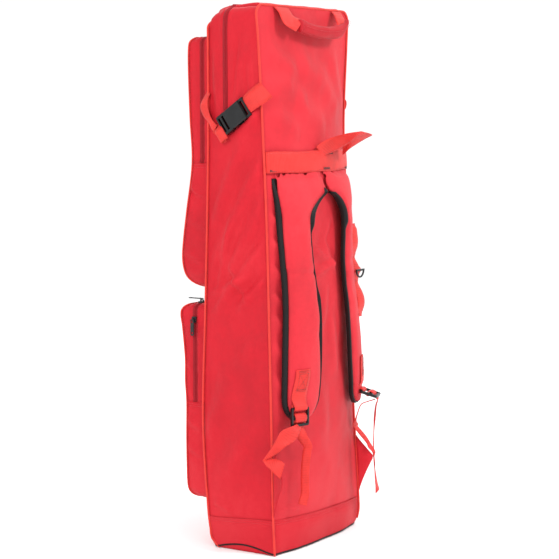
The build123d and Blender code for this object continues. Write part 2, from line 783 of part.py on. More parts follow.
def buckle_frame(side):
    """Local X runs up the strap to the rear, local Y across it, local Z out of the bag."""
    x = side * (half_width(BUCKLE_Z) + 5.0)
    tilt = math.radians(BUCKLE_TILT)
    along = (0, math.cos(tilt), math.sin(tilt))
    return Plane(origin=(x, buckle_y(side), BUCKLE_Z), x_dir=along, z_dir=(side, 0, 0))


def buckle_socket():
    """Female half: a flat sleeve with side windows and a webbing bar at its rear."""
    h = BUCKLE_WIDTH / 2
    shell = block(-8, 24, -h, h, 0, BUCKLE_THICK)
    shell = fillet(shell.edges().filter_by(Axis.X), 2.5)
    shell = shell - block(-10, 20, -h + 3, h - 3, 2.2, BUCKLE_THICK - 2.2)
    for s in (1, -1):
        y0, y1 = sorted((s * (h + 1), s * (h - 7)))
        shell = shell - block(2, 15, y0, y1, 1.6, BUCKLE_THICK - 1.6)
    bar = block(24, 34, -h, h, 3, 9)
    slot = block(25, 30, -h + 4, h - 4, 0, 12)
    return shell + (bar - slot)


def buckle_plug():
    """Male half: shoulder with two webbing slots, guide tongue and two springy arms."""
    h = BUCKLE_WIDTH / 2
    shoulder = block(-31, -8.4, -h, h, 1, BUCKLE_THICK - 1)
    shoulder = fillet(shoulder.edges().filter_by(Axis.Z), 4.0)
    for low, high in ((-28.0, -24.0), (-20.0, -15.5)):
        shoulder = shoulder - block(low, high, -h + 4.5, h - 4.5, 0, 12)
    plug = shoulder + block(-8.4, 18, -3.2, 3.2, 3.2, BUCKLE_THICK - 3.2)
    for s in (1, -1):
        y0, y1 = s * (h - 7.5), s * (h - 4.0)
        plug = plug + block(-8.5, 15, min(y0, y1), max(y0, y1), 3.2, BUCKLE_THICK - 3.2)
    return plug


def rear_strap(side):
    """Webbing sewn in the back seam and looped round the socket's bar."""
    x = side * (half_width(BUCKLE_Z) + 11.5)
    tilt = math.radians(BUCKLE_TILT)
    bar = (x, buckle_y(side) + 36 * math.cos(tilt), BUCKLE_Z + 36 * math.sin(tilt))
    seam_z = BUCKLE_Z + 46
    seam = (side * (half_width(BUCKLE_Z) + SEAM_REACH), seam_y(side, seam_z) - REAR_INSET, seam_z)
    across = (0, -math.sin(tilt), math.cos(tilt))
    return band_between([bar, seam], across, NARROW_WEB + 3, (1, 0, 0), WEB)


def front_strap(side):
    """Webbing from the front seam to the plug, threaded through its slots."""
    tilt = math.radians(BUCKLE_TILT)
    x = side * (half_width(BUCKLE_Z) + 4.2)
    seam_z = BUCKLE_Z + 27.0
    seam = (side * (half_width(seam_z) + SEAM_REACH), station(seam_z)[0] + SEAM_INSET, seam_z)
    slot = (x, buckle_y(side) - 30 * math.cos(tilt), BUCKLE_Z - 30 * math.sin(tilt))
    return band_between([seam, slot], (0, 0.83, 0.55), NARROW_WEB - 3, (1, 0, 0), WEB)


# ---- write every piece ----------------------------------------------------
MAIN_SLIDER_Z = 900.0
UPPER_SLIDER_Z = 905.0
LOWER_SLIDER_Z = 414.0
TOP_SLIDER_X = 118.0


def on_side(piece, side, x, y, z):
    """Place a slider or puller, modelled facing +X, on the right or left face."""
    turn = Rot(0, 0, 0) if side > 0 else Rot(0, 0, 180)
    return Pos(x, y, z) * turn * piece


def on_top(piece, x, y, z, down):
    """Lay a piece on a level zip run, its own +Z turned towards the given direction."""
    return Plane(origin=(x, y, z), x_dir=(0, 0, 1), z_dir=down) * piece


def all_parts():
    side_x = POCKET_HALF_WIDTH + TAPE_THICK
    main_x = half_width(MAIN_SLIDER_Z) + TAPE_THICK + 0.1
    top_z = LOWER_TOP_Z + TAPE_THICK
    parts = {
        "base_panel": base_panel(),
        "base_board": base_board(),
        "boot_band": boot(),
        "base_binding": base_binding(),
        "front_panel": front_wall(BOOT_TOP, FLAP_HINGE_Z),
        "back_panel": back_wall(BOOT_TOP, HEIGHT),
        "side_panel_right": side_panel(1),
        "side_panel_left": side_panel(-1),
        "roof_rear_gusset": roof_rear(),
        "rear_piping": rear_piping(),
        "front_piping": front_piping(),
        "anchor_band": anchor_band(),
        "main_zip_fixed_tape": main_zip_fixed(),
        "flap_front_panel": flap_front(),
        "flap_gusset": flap_gusset(),
        "flap_piping": flap_piping(),
        "main_zip_flap_tape": main_zip_flap(),
        "yoke_pad": yoke(),
        "handle_webbing": handle_webbing(),
        "handle_sleeve": handle_sleeve(),
        "grab_loop": grab_loop(),
        "grab_loop_anchors": grab_anchors(),
        "utility_strip": utility_strip(),
        "d_ring": d_ring(),
        "main_slider": on_side(slider(), -1, -main_x, MAIN_ZIP_Y, MAIN_SLIDER_Z),
        "main_puller": on_side(puller(), -1, -main_x, MAIN_ZIP_Y, MAIN_SLIDER_Z),
        "upper_slider": on_side(slider(), -1, -side_x, UPPER_ZIP_Y, UPPER_SLIDER_Z),
        "upper_puller": on_side(puller(), -1, -side_x, UPPER_ZIP_Y, UPPER_SLIDER_Z),
        "lower_side_slider": on_side(slider(), 1, side_x, LOWER_ZIP_Y, LOWER_SLIDER_Z),
        "lower_side_puller": on_side(puller(), 1, side_x, LOWER_ZIP_Y, LOWER_SLIDER_Z),
        "lower_top_slider": on_top(slider(turn=90), TOP_SLIDER_X, LOWER_ZIP_Y, top_z, (1, 0, 0)),
        "lower_top_puller": on_top(puller(), TOP_SLIDER_X, LOWER_ZIP_Y, top_z, (0, 1, 0)),
        "strap_wings": group([wing(1, *WING_RIGHT), wing(-1, *WING_LEFT)]),
        "compression_rear_straps": group([rear_strap(side) for side in (1, -1)]),
    }
    for name, profile, fold_z, zip_y in (
        ("upper", UPPER_FACE, UPPER_FOLD_Z, UPPER_ZIP_Y),
        ("lower", LOWER_FACE, LOWER_FOLD_Z, LOWER_ZIP_Y),
    ):
        parts[f"{name}_pocket_basin"] = pocket_basin(profile, fold_z)
        parts[f"{name}_pocket_strip"] = pocket_strip(profile, fold_z, zip_y)
        parts[f"{name}_pocket_flap"] = pocket_flap(profile, fold_z, zip_y)
        parts[f"{name}_pocket_zip"] = pocket_zip(profile, fold_z, zip_y)
    for name, side, stations, foot_z, wing_shape, elbow_at in (
        ("right", 1, RIGHT_STRAP, 88.0, WING_RIGHT, ELBOW_RIGHT),
        ("left", -1, LEFT_STRAP, 76.0, WING_LEFT, ELBOW_LEFT),
    ):
        parts[f"strap_pad_{name}"] = strap_pad(stations)
        parts[f"strap_binding_{name}"] = strap_binding(stations)
        parts[f"strap_patch_{name}"] = strap_patch(stations)
        parts[f"ladder_lock_{name}"] = ladder_lock(stations)
        parts[f"strap_tail_{name}"] = hanging_tail(stations, foot_z)
        parts[f"lower_webbing_{name}"] = lower_webbing(side, stations, wing_shape, elbow_at)
        frame = buckle_frame(side)
        parts[f"buckle_socket_{name}"] = frame * buckle_socket()
        parts[f"buckle_plug_{name}"] = frame * buckle_plug()
        parts[f"compression_front_{name}"] = front_strap(side)
    return parts


os.makedirs("parts", exist_ok=True)
for part_name, shape in all_parts().items():
    export_step(shape, f"parts/{part_name}.step")
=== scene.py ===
import math

import bmesh
import bpy
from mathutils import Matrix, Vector, noise


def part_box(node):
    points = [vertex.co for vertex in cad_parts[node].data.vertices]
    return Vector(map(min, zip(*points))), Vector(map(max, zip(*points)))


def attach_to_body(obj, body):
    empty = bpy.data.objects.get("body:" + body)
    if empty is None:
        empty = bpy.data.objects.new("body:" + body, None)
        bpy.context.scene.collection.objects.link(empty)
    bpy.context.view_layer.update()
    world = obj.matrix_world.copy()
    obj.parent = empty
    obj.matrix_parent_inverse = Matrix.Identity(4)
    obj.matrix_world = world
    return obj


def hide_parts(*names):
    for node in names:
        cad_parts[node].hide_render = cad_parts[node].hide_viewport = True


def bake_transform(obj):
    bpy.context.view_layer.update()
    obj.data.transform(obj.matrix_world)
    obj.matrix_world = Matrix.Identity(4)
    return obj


# A tall hockey stick bag seen from behind its right side. Metres, +Z up, the
# pockets face -Y and the harness faces +Y. Tables given to metres() and mm()
# are written in millimetres.

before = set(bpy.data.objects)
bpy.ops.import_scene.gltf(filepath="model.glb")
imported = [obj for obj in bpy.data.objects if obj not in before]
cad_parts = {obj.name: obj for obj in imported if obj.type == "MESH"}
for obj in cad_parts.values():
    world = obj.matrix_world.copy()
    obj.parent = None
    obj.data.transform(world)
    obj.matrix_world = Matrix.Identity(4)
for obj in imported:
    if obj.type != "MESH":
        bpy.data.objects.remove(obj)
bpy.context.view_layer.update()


def metres(rows):
    """A table of numbers in millimetres, in metres."""
    return tuple(tuple(v / 1000 for v in row) for row in rows)


def mm(points):
    """Points in millimetres as vectors in metres."""
    return [Vector(p) * 0.001 for p in points]


CLOTH = 0.0016              # thicknesses of body cloth, of the heavier and lighter webbing, and of zip tape
WEB_THICK, THIN_WEB, TAIL_WEB = 0.0019, 0.0018, 0.0017
TAPE = 0.0008
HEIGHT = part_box("back_panel")[1].z
BASE_HALF = 0.150
TOP_HALF = 0.158
FRONT = -0.066
ZIP_Y = -0.028
ZIP_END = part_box("main_zip_fixed_tape")[0].z
FLAP_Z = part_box("flap_front_panel")[0].z
FLAP_FOLD = ((0, FRONT, FLAP_Z - 0.040), (0, FRONT, FLAP_Z + 0.012))

# height, front face y, back seam y, bulge of the back panel
STATIONS = metres((
    (0, -64, 68, 3), (64, -74, 65, 14), (230, -84, 62, 28), (430, -77, 58, 38), (600, -71, 54, 40),
    (760, -67, 47, 32), (925, -66, 38, 12), (978, -66, 33, 2),
))
# height, how far the slack left back seam sags forward
SLACK = metres(((0, 0), (64, 0), (230, 9), (430, 14), (600, 19), (760, 21), (925, 7), (978, 0)))


# ---- small maths ----------------------------------------------------------
def lerp(a, b, t):
    return a + (b - a) * t


def ease(t):
    t = max(0.0, min(1.0, t))
    return t * t * (3 - 2 * t)


def table(rows, key, column):
    """Smooth value of a column at key, in rows sorted by their first entry."""
    if key <= rows[0][0]:
        return rows[0][column]
    for i in range(len(rows) - 1):
        low, high = rows[i], rows[i + 1]
        if key <= high[0]:
            before = rows[max(i - 1, 0)]
            after = rows[min(i + 2, len(rows) - 1)]
            span = high[0] - low[0]
            t = (key - low[0]) / span
            slope_a = (high[column] - before[column]) / max(high[0] - before[0], 1e-9) * span
            slope_b = (after[column] - low[column]) / max(after[0] - low[0], 1e-9) * span
            h = t * t * (3 - 2 * t)
            return (
                low[column] * (1 - h) + high[column] * h
                + slope_a * (t - 2 * t * t + t ** 3) + slope_b * (t ** 3 - t * t)
            )
    return rows[-1][column]


def half_width(z):
    return lerp(BASE_HALF, TOP_HALF, z / HEIGHT)


def front_y(z):
    return table(STATIONS, z, 1)


def seam_y(z, side=1):
    return table(STATIONS, z, 2) - (table(SLACK, z, 1) if side < 0 else 0.0)


def back_y(x, z):
    """Outer face of the padded back: an arc through both side seams and the middle."""
    bulge = table(STATIONS, z, 3)
    half = half_width(z) - 0.003
    right, left = seam_y(z), seam_y(z, -1)
    slant, mean = right - left, (right + left) / 2
    rise = (half * half - bulge * bulge + slant * slant / 4) / (2 * bulge)
    centre = slant * rise / (2 * half)
    radius = math.hypot(centre, bulge + rise)
    reach = max(-half, min(half, x))
    return mean - rise + math.sqrt(radius * radius - (reach - centre) ** 2)


def wobble(x, y, z, scale, seed=0.0):
    return noise.noise(Vector((x / scale + seed, y / scale - seed * 1.7, z / scale + seed * 0.6)))


def crease(a, z, folds):
    """Height at (a, z) of soft folds, each a line with a width, a height and faded ends."""
    total = 0.0
    for a0, z0, a1, z1, width, height in folds:
        da, dz = a1 - a0, z1 - z0
        length = math.hypot(da, dz)
        t = ((a - a0) * da + (z - z0) * dz) / (length * length)
        if t < -0.15 or t > 1.15:
            continue
        off = ((a - a0) * dz - (z - z0) * da) / length
        off += 0.06 * width * math.sin(7 * t + a0 * 90)
        fade = ease((t + 0.15) / 0.4) * ease((1.15 - t) / 0.4)
        k = off / width
        total += height * fade * (math.exp(-k * k) - 0.45 * math.exp(-(k - 1.5) ** 2))
    return total * 1.3


# ---- meshes ---------------------------------------------------------------
def add_object(name, verts, faces, material, smooth=True):
    mesh = bpy.data.meshes.new(name)
    mesh.from_pydata([tuple(v) for v in verts], [], faces)
    mesh.materials.append(material)
    if smooth:
        mesh.polygons.foreach_set("use_smooth", [True] * len(mesh.polygons))
    mesh.update()
    obj = bpy.data.objects.new(name, mesh)
    bpy.context.scene.collection.objects.link(obj)
    return obj


def tidy(obj, weld=1e-5):
    """Weld coincident points and turn all faces outward."""
    mesh = bmesh.new()
    mesh.from_mesh(obj.data)
    bmesh.ops.remove_doubles(mesh, verts=mesh.verts, dist=weld)
    bmesh.ops.recalc_face_normals(mesh, faces=mesh.faces)
    mesh.to_mesh(obj.data)
    mesh.free()
    return obj


def ring_faces(rings, sides, start=0):
    """Faces of a tube of rings, each of sides points."""
    faces = []
    for r in range(rings - 1):
        a, b = start + r * sides, start + (r + 1) * sides
        for c in range(sides):
            n = (c + 1) % sides
            faces.append((a + c, a + n, b + n, b + c))
    return faces


def sweep(name, rings, material, weld=1e-7):
    """Closed solid through rings of points, capped at both ends."""
    count = len(rings[0])
    verts = [p for ring in rings for p in ring]
    faces = ring_faces(len(rings), count)
    faces += [tuple(range(count))[::-1], tuple(range(len(verts) - count, len(verts)))]
    obj = add_object(name, verts, faces, material)
    return tidy(obj, weld) if weld else obj


def face_along(obj, direction):
    """Turn a sheet so that its faces look along direction(centre of the face)."""
    if sum(direction(p.center).dot(p.normal) * p.area for p in obj.data.polygons) < 0:
        obj.data.flip_normals()
    return obj


def solidify(obj, thick, offset=-1.0):
    mod = obj.modifiers.new("thickness", "SOLIDIFY")
    mod.thickness = thick
    mod.offset = offset
    return obj


def subdivide(obj, levels=1):
    mod = obj.modifiers.new("smooth", "SUBSURF")
    mod.levels = levels
    mod.render_levels = levels
    return obj


def bevel(obj, width, segments=2):
    mod = obj.modifiers.new("edges", "BEVEL")
    mod.width = width
    mod.segments = segments
    mod.limit_method = "ANGLE"
    mod.angle_limit = math.radians(35)
    return obj


def smooth_path(points, steps=6):
    """Catmull-Rom points through the given ones."""
    pts = [Vector(p) for p in points]
    ext = [2 * pts[0] - pts[1]] + pts + [2 * pts[-1] - pts[-2]]
    out = []
    for i in range(1, len(ext) - 2):
        p0, p1, p2, p3 = ext[i - 1], ext[i], ext[i + 1], ext[i + 2]
        for k in range(steps):
            t = k / steps
            out.append(
                0.5 * ((2 * p1) + (p2 - p0) * t + (2 * p0 - 5 * p1 + 4 * p2 - p3) * t * t
                       + (3 * p1 - p0 - 3 * p2 + p3) * t ** 3)
            )
    out.append(pts[-1])
    return out


def tangents(path):
    last = len(path) - 1
    return [(path[min(i + 1, last)] - path[max(i - 1, 0)]).normalized() for i in range(last + 1)]


def spread(values, count):
    """Values given at even stations, read at count places."""
    rows = [(i / (len(values) - 1), v) for i, v in enumerate(values)]
    return [table(rows, i / (count - 1), 1) for i in range(count)]


def ribbon(name, points, across, width, thick, material, steps=6):
    """Webbing along a path. across gives its width direction and width its width, one or many."""
    path = smooth_path(points, steps)
    across = across if isinstance(across, list) else [across] * 2
    width = width if isinstance(width, list) else [width] * 2
    columns = [spread(values, len(path)) for values in (width, *zip(*across))]
    profile = [(k / 2 - 1, 1) for k in range(5)] + [(1 - k / 2, -1) for k in range(5)]
    rings = []
    for p, t, wide, *w in zip(path, tangents(path), *columns):
        w = Vector(w)
        w = (w - t * w.dot(t)).normalized()
        n = t.cross(w).normalized()
        rings.append([p + w * (a * wide / 2) + n * (side * thick / 2 * (1 - 0.55 * abs(a) ** 6))
                      for a, side in profile])
    return sweep(name, rings, material)


def round_rings(path, radius_at, sides, up):
    """Rings round a path, which turn as little as they can from one to the next."""
    rings = []
    for i, (p, t) in enumerate(zip(path, tangents(path))):
        a = up.cross(t)
        if a.length < 0.1:
            a = Vector((0.9, 0.3, 0.1)).cross(t)
        a.normalize()
        up = t.cross(a).normalized()
        angles = [2 * math.pi * k / sides for k in range(sides)]
        rings.append([p + a * (radius_at(i) * math.cos(g)) + up * (radius_at(i) * math.sin(g)) for g in angles])
    return rings


def tube(name, points, radius, material, steps=2, sides=8):
    path = smooth_path(points, steps) if steps > 1 else [Vector(p) for p in points]
    return sweep(name, round_rings(path, lambda i: radius, sides, Vector((0.31, 0.17, 0.93))), material)


def coil(name, path, radius, pitch=0.0024):
    """Zip coil: a beaded tube whose section swells at every tooth."""
    points, lengths, total = [], [], 0.0
    for a, b in zip(path, path[1:]):
        run = (b - a).length
        steps = max(1, int(run / (pitch / 4)))
        points += [a.lerp(b, k / steps) for k in range(steps)]
        lengths += [total + run * k / steps for k in range(steps)]
        total += run
    rings = round_rings(points, lambda i: radius * (1 + 0.28 * math.cos(2 * math.pi * lengths[i] / pitch)),
                        6, Vector((0.3, 0.2, 0.93)))
    return sweep(name, rings, M_COIL, weld=0)


def sew(name, paths, body="bag", normal=(0, 1, 0), material=None, pitch=0.0042, length=0.0027, radius=0.00035):
    """Rows of thread riding a body: one small lens-shaped solid a stitch."""
    verts, faces = [], []
    for points in paths:
        path = [Vector(p) for p in points]
        done = 0.0
        need = pitch * 0.5
        for a, b in zip(path, path[1:]):
            run = (b - a).length
            if run < 1e-9:
                continue
            t = (b - a) / run
            n = Vector(normal(a) if callable(normal) else normal).normalized()
            w = t.cross(n).normalized()
            while need <= done + run:
                p = a + t * (need - done)
                base = len(verts)
                for along, size in ((-length / 2, 0.35), (0.0, 1.0), (length / 2, 0.35)):
                    for k in range(4):
                        ang = math.pi / 2 * k
                        verts.append(p + t * along + w * (radius * size * math.cos(ang))
                                     + n * (radius * size * math.sin(ang) + radius * 0.5))
                faces += ring_faces(3, 4, base)
                faces += [(base + 3, base + 2, base + 1, base), (base + 8, base + 9, base + 10, base + 11)]
                need += pitch
            done += run
    return attach(add_object(name, verts, faces, material or M_THREAD), body)


def collect(cells):
    """Mesh data from quads of points, with equal points joined."""
    index, verts, faces = {}, [], []
    for quad in cells:
        ids = []
        for p in quad:
            key = tuple(round(v, 6) for v in p)
            if key not in index:
                index[key] = len(verts)
                verts.append(p)
            ids.append(index[key])
        ids = tuple(dict.fromkeys(ids))
        if len(ids) >= 3:
            faces.append(ids)
    return verts, faces


def quads(rows, keep=lambda r, c: True):
    for r in range(len(rows) - 1):
        for c in range(len(rows[r]) - 1):
            if keep(r, c):
                yield rows[r][c], rows[r][c + 1], rows[r + 1][c + 1], rows[r + 1][c]


def cloth_piece(name, cells, centre, material=None, thick=CLOTH):
    """Sheet of cloth with its faces turned away from centre, thickened inward."""
    obj = tidy(add_object(name, *collect(cells), material or M_BODY))
    return solidify(face_along(obj, lambda at: at - Vector(centre)), thick)


def grid(count, columns, point):
    """Rows of point(u, v), each of the two running from 0 to 1."""
    return [[point(k / (count - 1), c / (columns - 1)) for c in range(columns)] for k in range(count)]


def laid_strip(name, rows, thick, material):
    """Closed webbing from rows of points across its width, its long edges rolled a little."""
    last = len(rows[0]) - 1
    rings = []
    for k, row in enumerate(rows):
        before, after = rows[max(k - 1, 0)], rows[min(k + 1, len(rows) - 1)]
        ring = []
        for face, order in ((1, range(last + 1)), (-1, range(last, -1, -1))):
            for c in order:
                n = (after[c] - before[c]).cross(row[min(c + 1, last)] - row[max(c - 1, 0)]).normalized()
                ring.append(row[c] + n * (face * thick / 2 * (1 - 0.6 * abs(2 * c / last - 1) ** 6)))
        rings.append(ring)
    return sweep(name, rings, material, 1e-8)


def edged_strip(name, edge_a, edge_b, thick, material):
    """Webbing between two edges given in millimetres by matching points."""
    pairs = zip(smooth_path(mm(edge_a)), smooth_path(mm(edge_b)))
    return laid_strip(name, [[p.lerp(q, c / 8) for c in range(9)] for p, q in pairs], thick, material)


def attach(obj, body, nodes=(), fold=None):
    """Ride a body, or, when a fold is given, keep the object in place with its transform baked; hide the CAD nodes it
    stands for.
    """
    if fold:
        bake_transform(obj)
    else:
        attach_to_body(obj, body)
    if nodes:
        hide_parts(*nodes)
    return obj


# ---- materials ------------------------------------------------------------
class Nodes:
    """Short way to build one node material."""

    def __init__(self, name, roughness, **shader):
        self.material = bpy.data.materials.new(name)
        self.material.use_nodes = True
        self.tree = self.material.node_tree
        self.bsdf = self.tree.nodes["Principled BSDF"]
        self.feed(self.bsdf, Roughness=roughness, **shader)
        self.coords = self.tree.nodes.new("ShaderNodeTexCoord").outputs["Object"]

    def join(self, socket, value):
        if isinstance(value, bpy.types.NodeSocket):
            self.tree.links.new(value, socket)
        elif value is not None:
            socket.default_value = value

    def feed(self, node, **inputs):
        for key, value in inputs.items():
            self.join(node.inputs[key.replace("_", " ")], value)
        return node

    def add(self, kind, **inputs):
        return self.feed(self.tree.nodes.new(kind), **inputs).outputs[0]

    def math(self, operation, a, b=0.0):
        node = self.tree.nodes.new("ShaderNodeMath")
        node.operation = operation
        self.join(node.inputs[0], a)
        self.join(node.inputs[1], b)
        return node.outputs[0]

    def scaled(self, value, by, plus=0.0):
        return self.math("ADD", self.math("MULTIPLY", value, by), plus)

    def ramp(self, value, stops):
        node = self.tree.nodes.new("ShaderNodeValToRGB")
        self.join(node.inputs[0], value)
        elements = node.color_ramp.elements
        while len(elements) < len(stops):
            elements.new(0.5)
        for element, (place, colour) in zip(elements, stops):
            element.position = place
            element.color = (*colour, 1)
        return node.outputs[0]

    def noise(self, scale, detail, roughness=0.55, stretch=None):
        vector = self.coords
        if stretch:
            vector = self.add("ShaderNodeMapping", Vector=vector, Scale=stretch)
        return self.add("ShaderNodeTexNoise", Vector=vector, Scale=scale, Detail=detail, Roughness=roughness)

    def waves(self, weights, period, distortion=0.0):
        """Sine ribs along a direction of the object's own space; period in metres."""
        split = self.feed(self.tree.nodes.new("ShaderNodeSeparateXYZ"), Vector=self.coords)
        parts = [self.math("MULTIPLY", split.outputs[k], w) for k, w in enumerate(weights) if w]
        if distortion:
            parts.append(self.math("MULTIPLY", self.noise(40.0, 2.0), distortion))
        total = parts[0]
        for part in parts[1:]:
            total = self.math("ADD", total, part)
        return self.math("SINE", self.math("MULTIPLY", total, 2 * math.pi / period))

    def bump(self, height, strength, distance, before=None):
        return self.add("ShaderNodeBump", Height=height, Strength=strength, Distance=distance, Normal=before)

    def finish(self, colour, normal=None, roughness=None):
        self.feed(self.bsdf, Base_Color=colour, Normal=normal, Roughness=roughness)
        return self.material


def shade(colour, factor, toward=None, mix=0.0):
    result = [c * factor for c in colour]
    if toward:
        result = [lerp(a, b, mix) for a, b in zip(result, toward)]
    return tuple(min(c, 1.0) for c in result)


SHEEN = (1.0, 0.45, 0.45, 1.0)


def cloth_material(name, colour, bump=0.22):
    """Plain weave of coated polyester with slight slubs and creases; its colour is painted darker in the creases' low
    places and lighter on their high spots (painted fold shade and painted highlight), mixed with random tone.
    """
    n = Nodes(name, 0.62, Sheen_Weight=0.12, Sheen_Roughness=0.5, Sheen_Tint=SHEEN, Specular_IOR_Level=0.18)
    plain = n.math("MULTIPLY", *(n.waves(along, 0.0013, 0.0006) for along in ((1, 1, 0), (0, 0, 1))))
    slub = n.noise(900.0, 2.0, 0.6, (1.0, 1.0, 0.25))
    weave = n.scaled(plain, 0.5, n.math("MULTIPLY", slub, 0.8))
    soft = n.noise(26.0, 5.0, 0.62)
    blend = n.scaled(soft, 0.6, n.math("MULTIPLY", n.noise(120.0, 3.0, 0.6), 0.4))
    yarn = n.scaled(plain, 0.05, blend)
    creased = n.noise(9.0, 3.0, 0.5, (1.0, 1.0, 0.55))
    # painted fold shade and highlight: the crease noise that bumps the cloth also darkens its low places and lightens
    # its high spots, mixed with random tone
    tone_and_painted_shading = n.scaled(yarn, 0.35, n.math("MULTIPLY", creased, 0.65))
    light_tone_and_highlight = shade(colour, 1.06, (1.0, 0.30, 0.30), 0.03)
    tint = n.ramp(tone_and_painted_shading, ((0.36, shade(colour, 0.84)), (0.50, colour), (0.64, light_tone_and_highlight)))
    normal = n.bump(blend, 0.12, 0.003, n.bump(creased, 0.40, 0.012))
    return n.finish(tint, n.bump(weave, bump, 0.0005, normal), n.scaled(soft, 0.25, 0.48))


def webbing_material(name, colour, along, period=0.0030, bump=0.5):
    """Ribbed polypropylene webbing; along gives the direction its ribs repeat in."""
    n = Nodes(name, 0.5, Sheen_Weight=0.08, Sheen_Roughness=0.5, Sheen_Tint=SHEEN, Specular_IOR_Level=0.2)
    ribs = n.waves(along, period)
    height = n.scaled(ribs, 0.5, n.math("MULTIPLY", n.noise(1400.0, 2.0, 0.5), 0.5))
    # painted rib shading: the ribs' own wave lightens the ridges and darkens the grooves in the tint, mixed with random
    # tone from noise
    value = n.scaled(ribs, 0.16, n.noise(60.0, 4.0, 0.6))
    tint = n.ramp(value, ((0.25, shade(colour, 0.84)), (0.5, colour), (0.75, shade(colour, 1.10))))
    return n.finish(tint, n.bump(height, bump, 0.0005))


def plastic_material(name, colour):
    """Moulded acetal: fine spark-eroded grain with rubbed edges."""
    n = Nodes(name, 0.36, Specular_IOR_Level=0.38)
    wear = n.noise(70.0, 4.0, 0.65)
    tint = n.ramp(wear, ((0.35, colour), (0.62, shade(colour, 1.5)), (0.78, shade(colour, 2.4))))
    return n.finish(tint, n.bump(n.noise(1600.0, 3.0, 0.6), 0.25, 0.0003), n.scaled(wear, 0.3, 0.22))


def thread_material(name, colour):
    n = Nodes(name, 0.55, Sheen_Weight=0.2)
    tint = n.ramp(n.noise(300.0, 2.0), ((0.3, shade(colour, 0.75)), (0.7, shade(colour, 1.15))))
    return n.finish(tint, n.bump(n.waves((1.0, 0.7, 1.0), 0.0007), 0.4, 0.0003))


RED = (0.500, 0.0075, 0.0180)
DEEP = (0.340, 0.006, 0.014)
ORANGE = (0.600, 0.030, 0.026)
CORD = (0.620, 0.036, 0.028)
BLACK = (0.0045, 0.0050, 0.0055)
PAINTED_LIGHT_TINT = (1.0, 0.25, 0.27)    # painted light: the pale pink that the back and strap pads are lightened toward, as if lit
UPRIGHT = (0.0, 0.0, 1.0)

M_BODY = cloth_material("body_cloth", RED)
# painted light: the back and the strap pads are lit copies of the red, lighter and paler than the body cloth
M_BACK_PAINTED_LIGHT = cloth_material("back_cloth_painted_light", shade(RED, 1.04, PAINTED_LIGHT_TINT, 0.04), 0.18)
M_PAD_PAINTED_LIGHT = cloth_material("pad_cloth_painted_light", shade(RED, 1.04, PAINTED_LIGHT_TINT, 0.05), 0.15)
# painted shade: the handle's sleeve is a darker copy of the red, for the shadow under the handle
M_SLEEVE_PAINTED_SHADE = cloth_material("sleeve_cloth_painted_shade", shade(RED, 0.80), 0.15)
M_BASE = cloth_material("base_cloth", shade(RED, 0.98), 0.28)
M_COIL = cloth_material("zip_coil", shade(DEEP, 0.90), 0.10)
M_WEB = webbing_material("webbing_upright", ORANGE, UPRIGHT)
M_WEB_LEVEL = webbing_material("webbing_level", ORANGE, (1.0, 0.0, 0.0))
M_WEB_TILT = webbing_material("webbing_tilted", ORANGE, (0.0, 0.82, 0.57))
M_WEB_LOOP = webbing_material("webbing_loop", ORANGE, (0.0, 1.0, 0.2))
M_PIPING = webbing_material("piping_tape", CORD, (0.0, 0.7, 1.0), 0.0032, 0.12)
M_BINDING = webbing_material("binding_tape", BLACK, UPRIGHT, bump=0.25)
M_ZIP = webbing_material("zip_tape_cloth", shade(DEEP, 0.82), (0.4, 0.4, 1.0), bump=0.12)
M_PLASTIC = plastic_material("black_acetal", BLACK)
M_METAL = plastic_material("black_lacquer", (0.012, 0.012, 0.013))
M_BOARD = plastic_material("stiffener_board", (0.10, 0.10, 0.10))
M_THREAD = thread_material("red_thread", (0.62, 0.014, 0.03))
M_PATCH_THREAD = thread_material("patch_thread", (0.160, 0.006, 0.008))
M_BLACK_THREAD = thread_material("black_thread", (0.012, 0.012, 0.012))


# ---- the lofted shell of the bag ------------------------------------------
CORNER = 0.019              # rounding of the two top corners, seen from behind
STRETCH_FROM = 0.90         # above this height the rows fan to meet the sloping roof
SIDE_ROWS = 190
CORNER_ROWS = 8
TOP_COLUMNS = 60
FRONT_COLUMNS = 9
REAR_COLUMNS = 17
BOOT = 0.064
LEFT_ROUND = 0.032          # the slack left base corner
FRONT_ROUND = 0.014
PAD_DEPTH = 0.007
PIPING = 0.0021             # radii of the cord in the bag's seams and in the pockets' edges
POCKET_PIPING = 0.0014

ROOF = metres(((-66, 951), (-63, 960), (-56, 966), (-43, 970), (-16, 972), (22, 976), (33, 978)))

# folds of the side gusset as (y, z) to (y, z), width, height
SIDE_FOLDS = metres((
    (50, 715, -50, 520, 15, 4.2), (52, 650, -30, 480, 13, 4.0), (10, 740, -58, 590, 13, 3.0),
    (50, 560, -55, 430, 10, 4.4), (20, 500, -62, 465, 8, 3.4), (-15, 600, -50, 465, 7, 2.6),
    (54, 500, 0, 445, 8, 3.6), (-20, 520, 20, 455, 6, 3.0), (50, 400, -10, 330, 18, 2.6),
    (-20, 330, -75, 200, 20, 2.8), (40, 250, -50, 120, 24, 3.0), (-62, 85, -20, 68, 7, 3.0),
    (12, 930, -6, 800, 9, 2.6), (24, 900, 30, 770, 10, 2.6), (-50, 900, -46, 790, 8, 2.4),
    (40, 790, -10, 740, 12, 3.4),
))
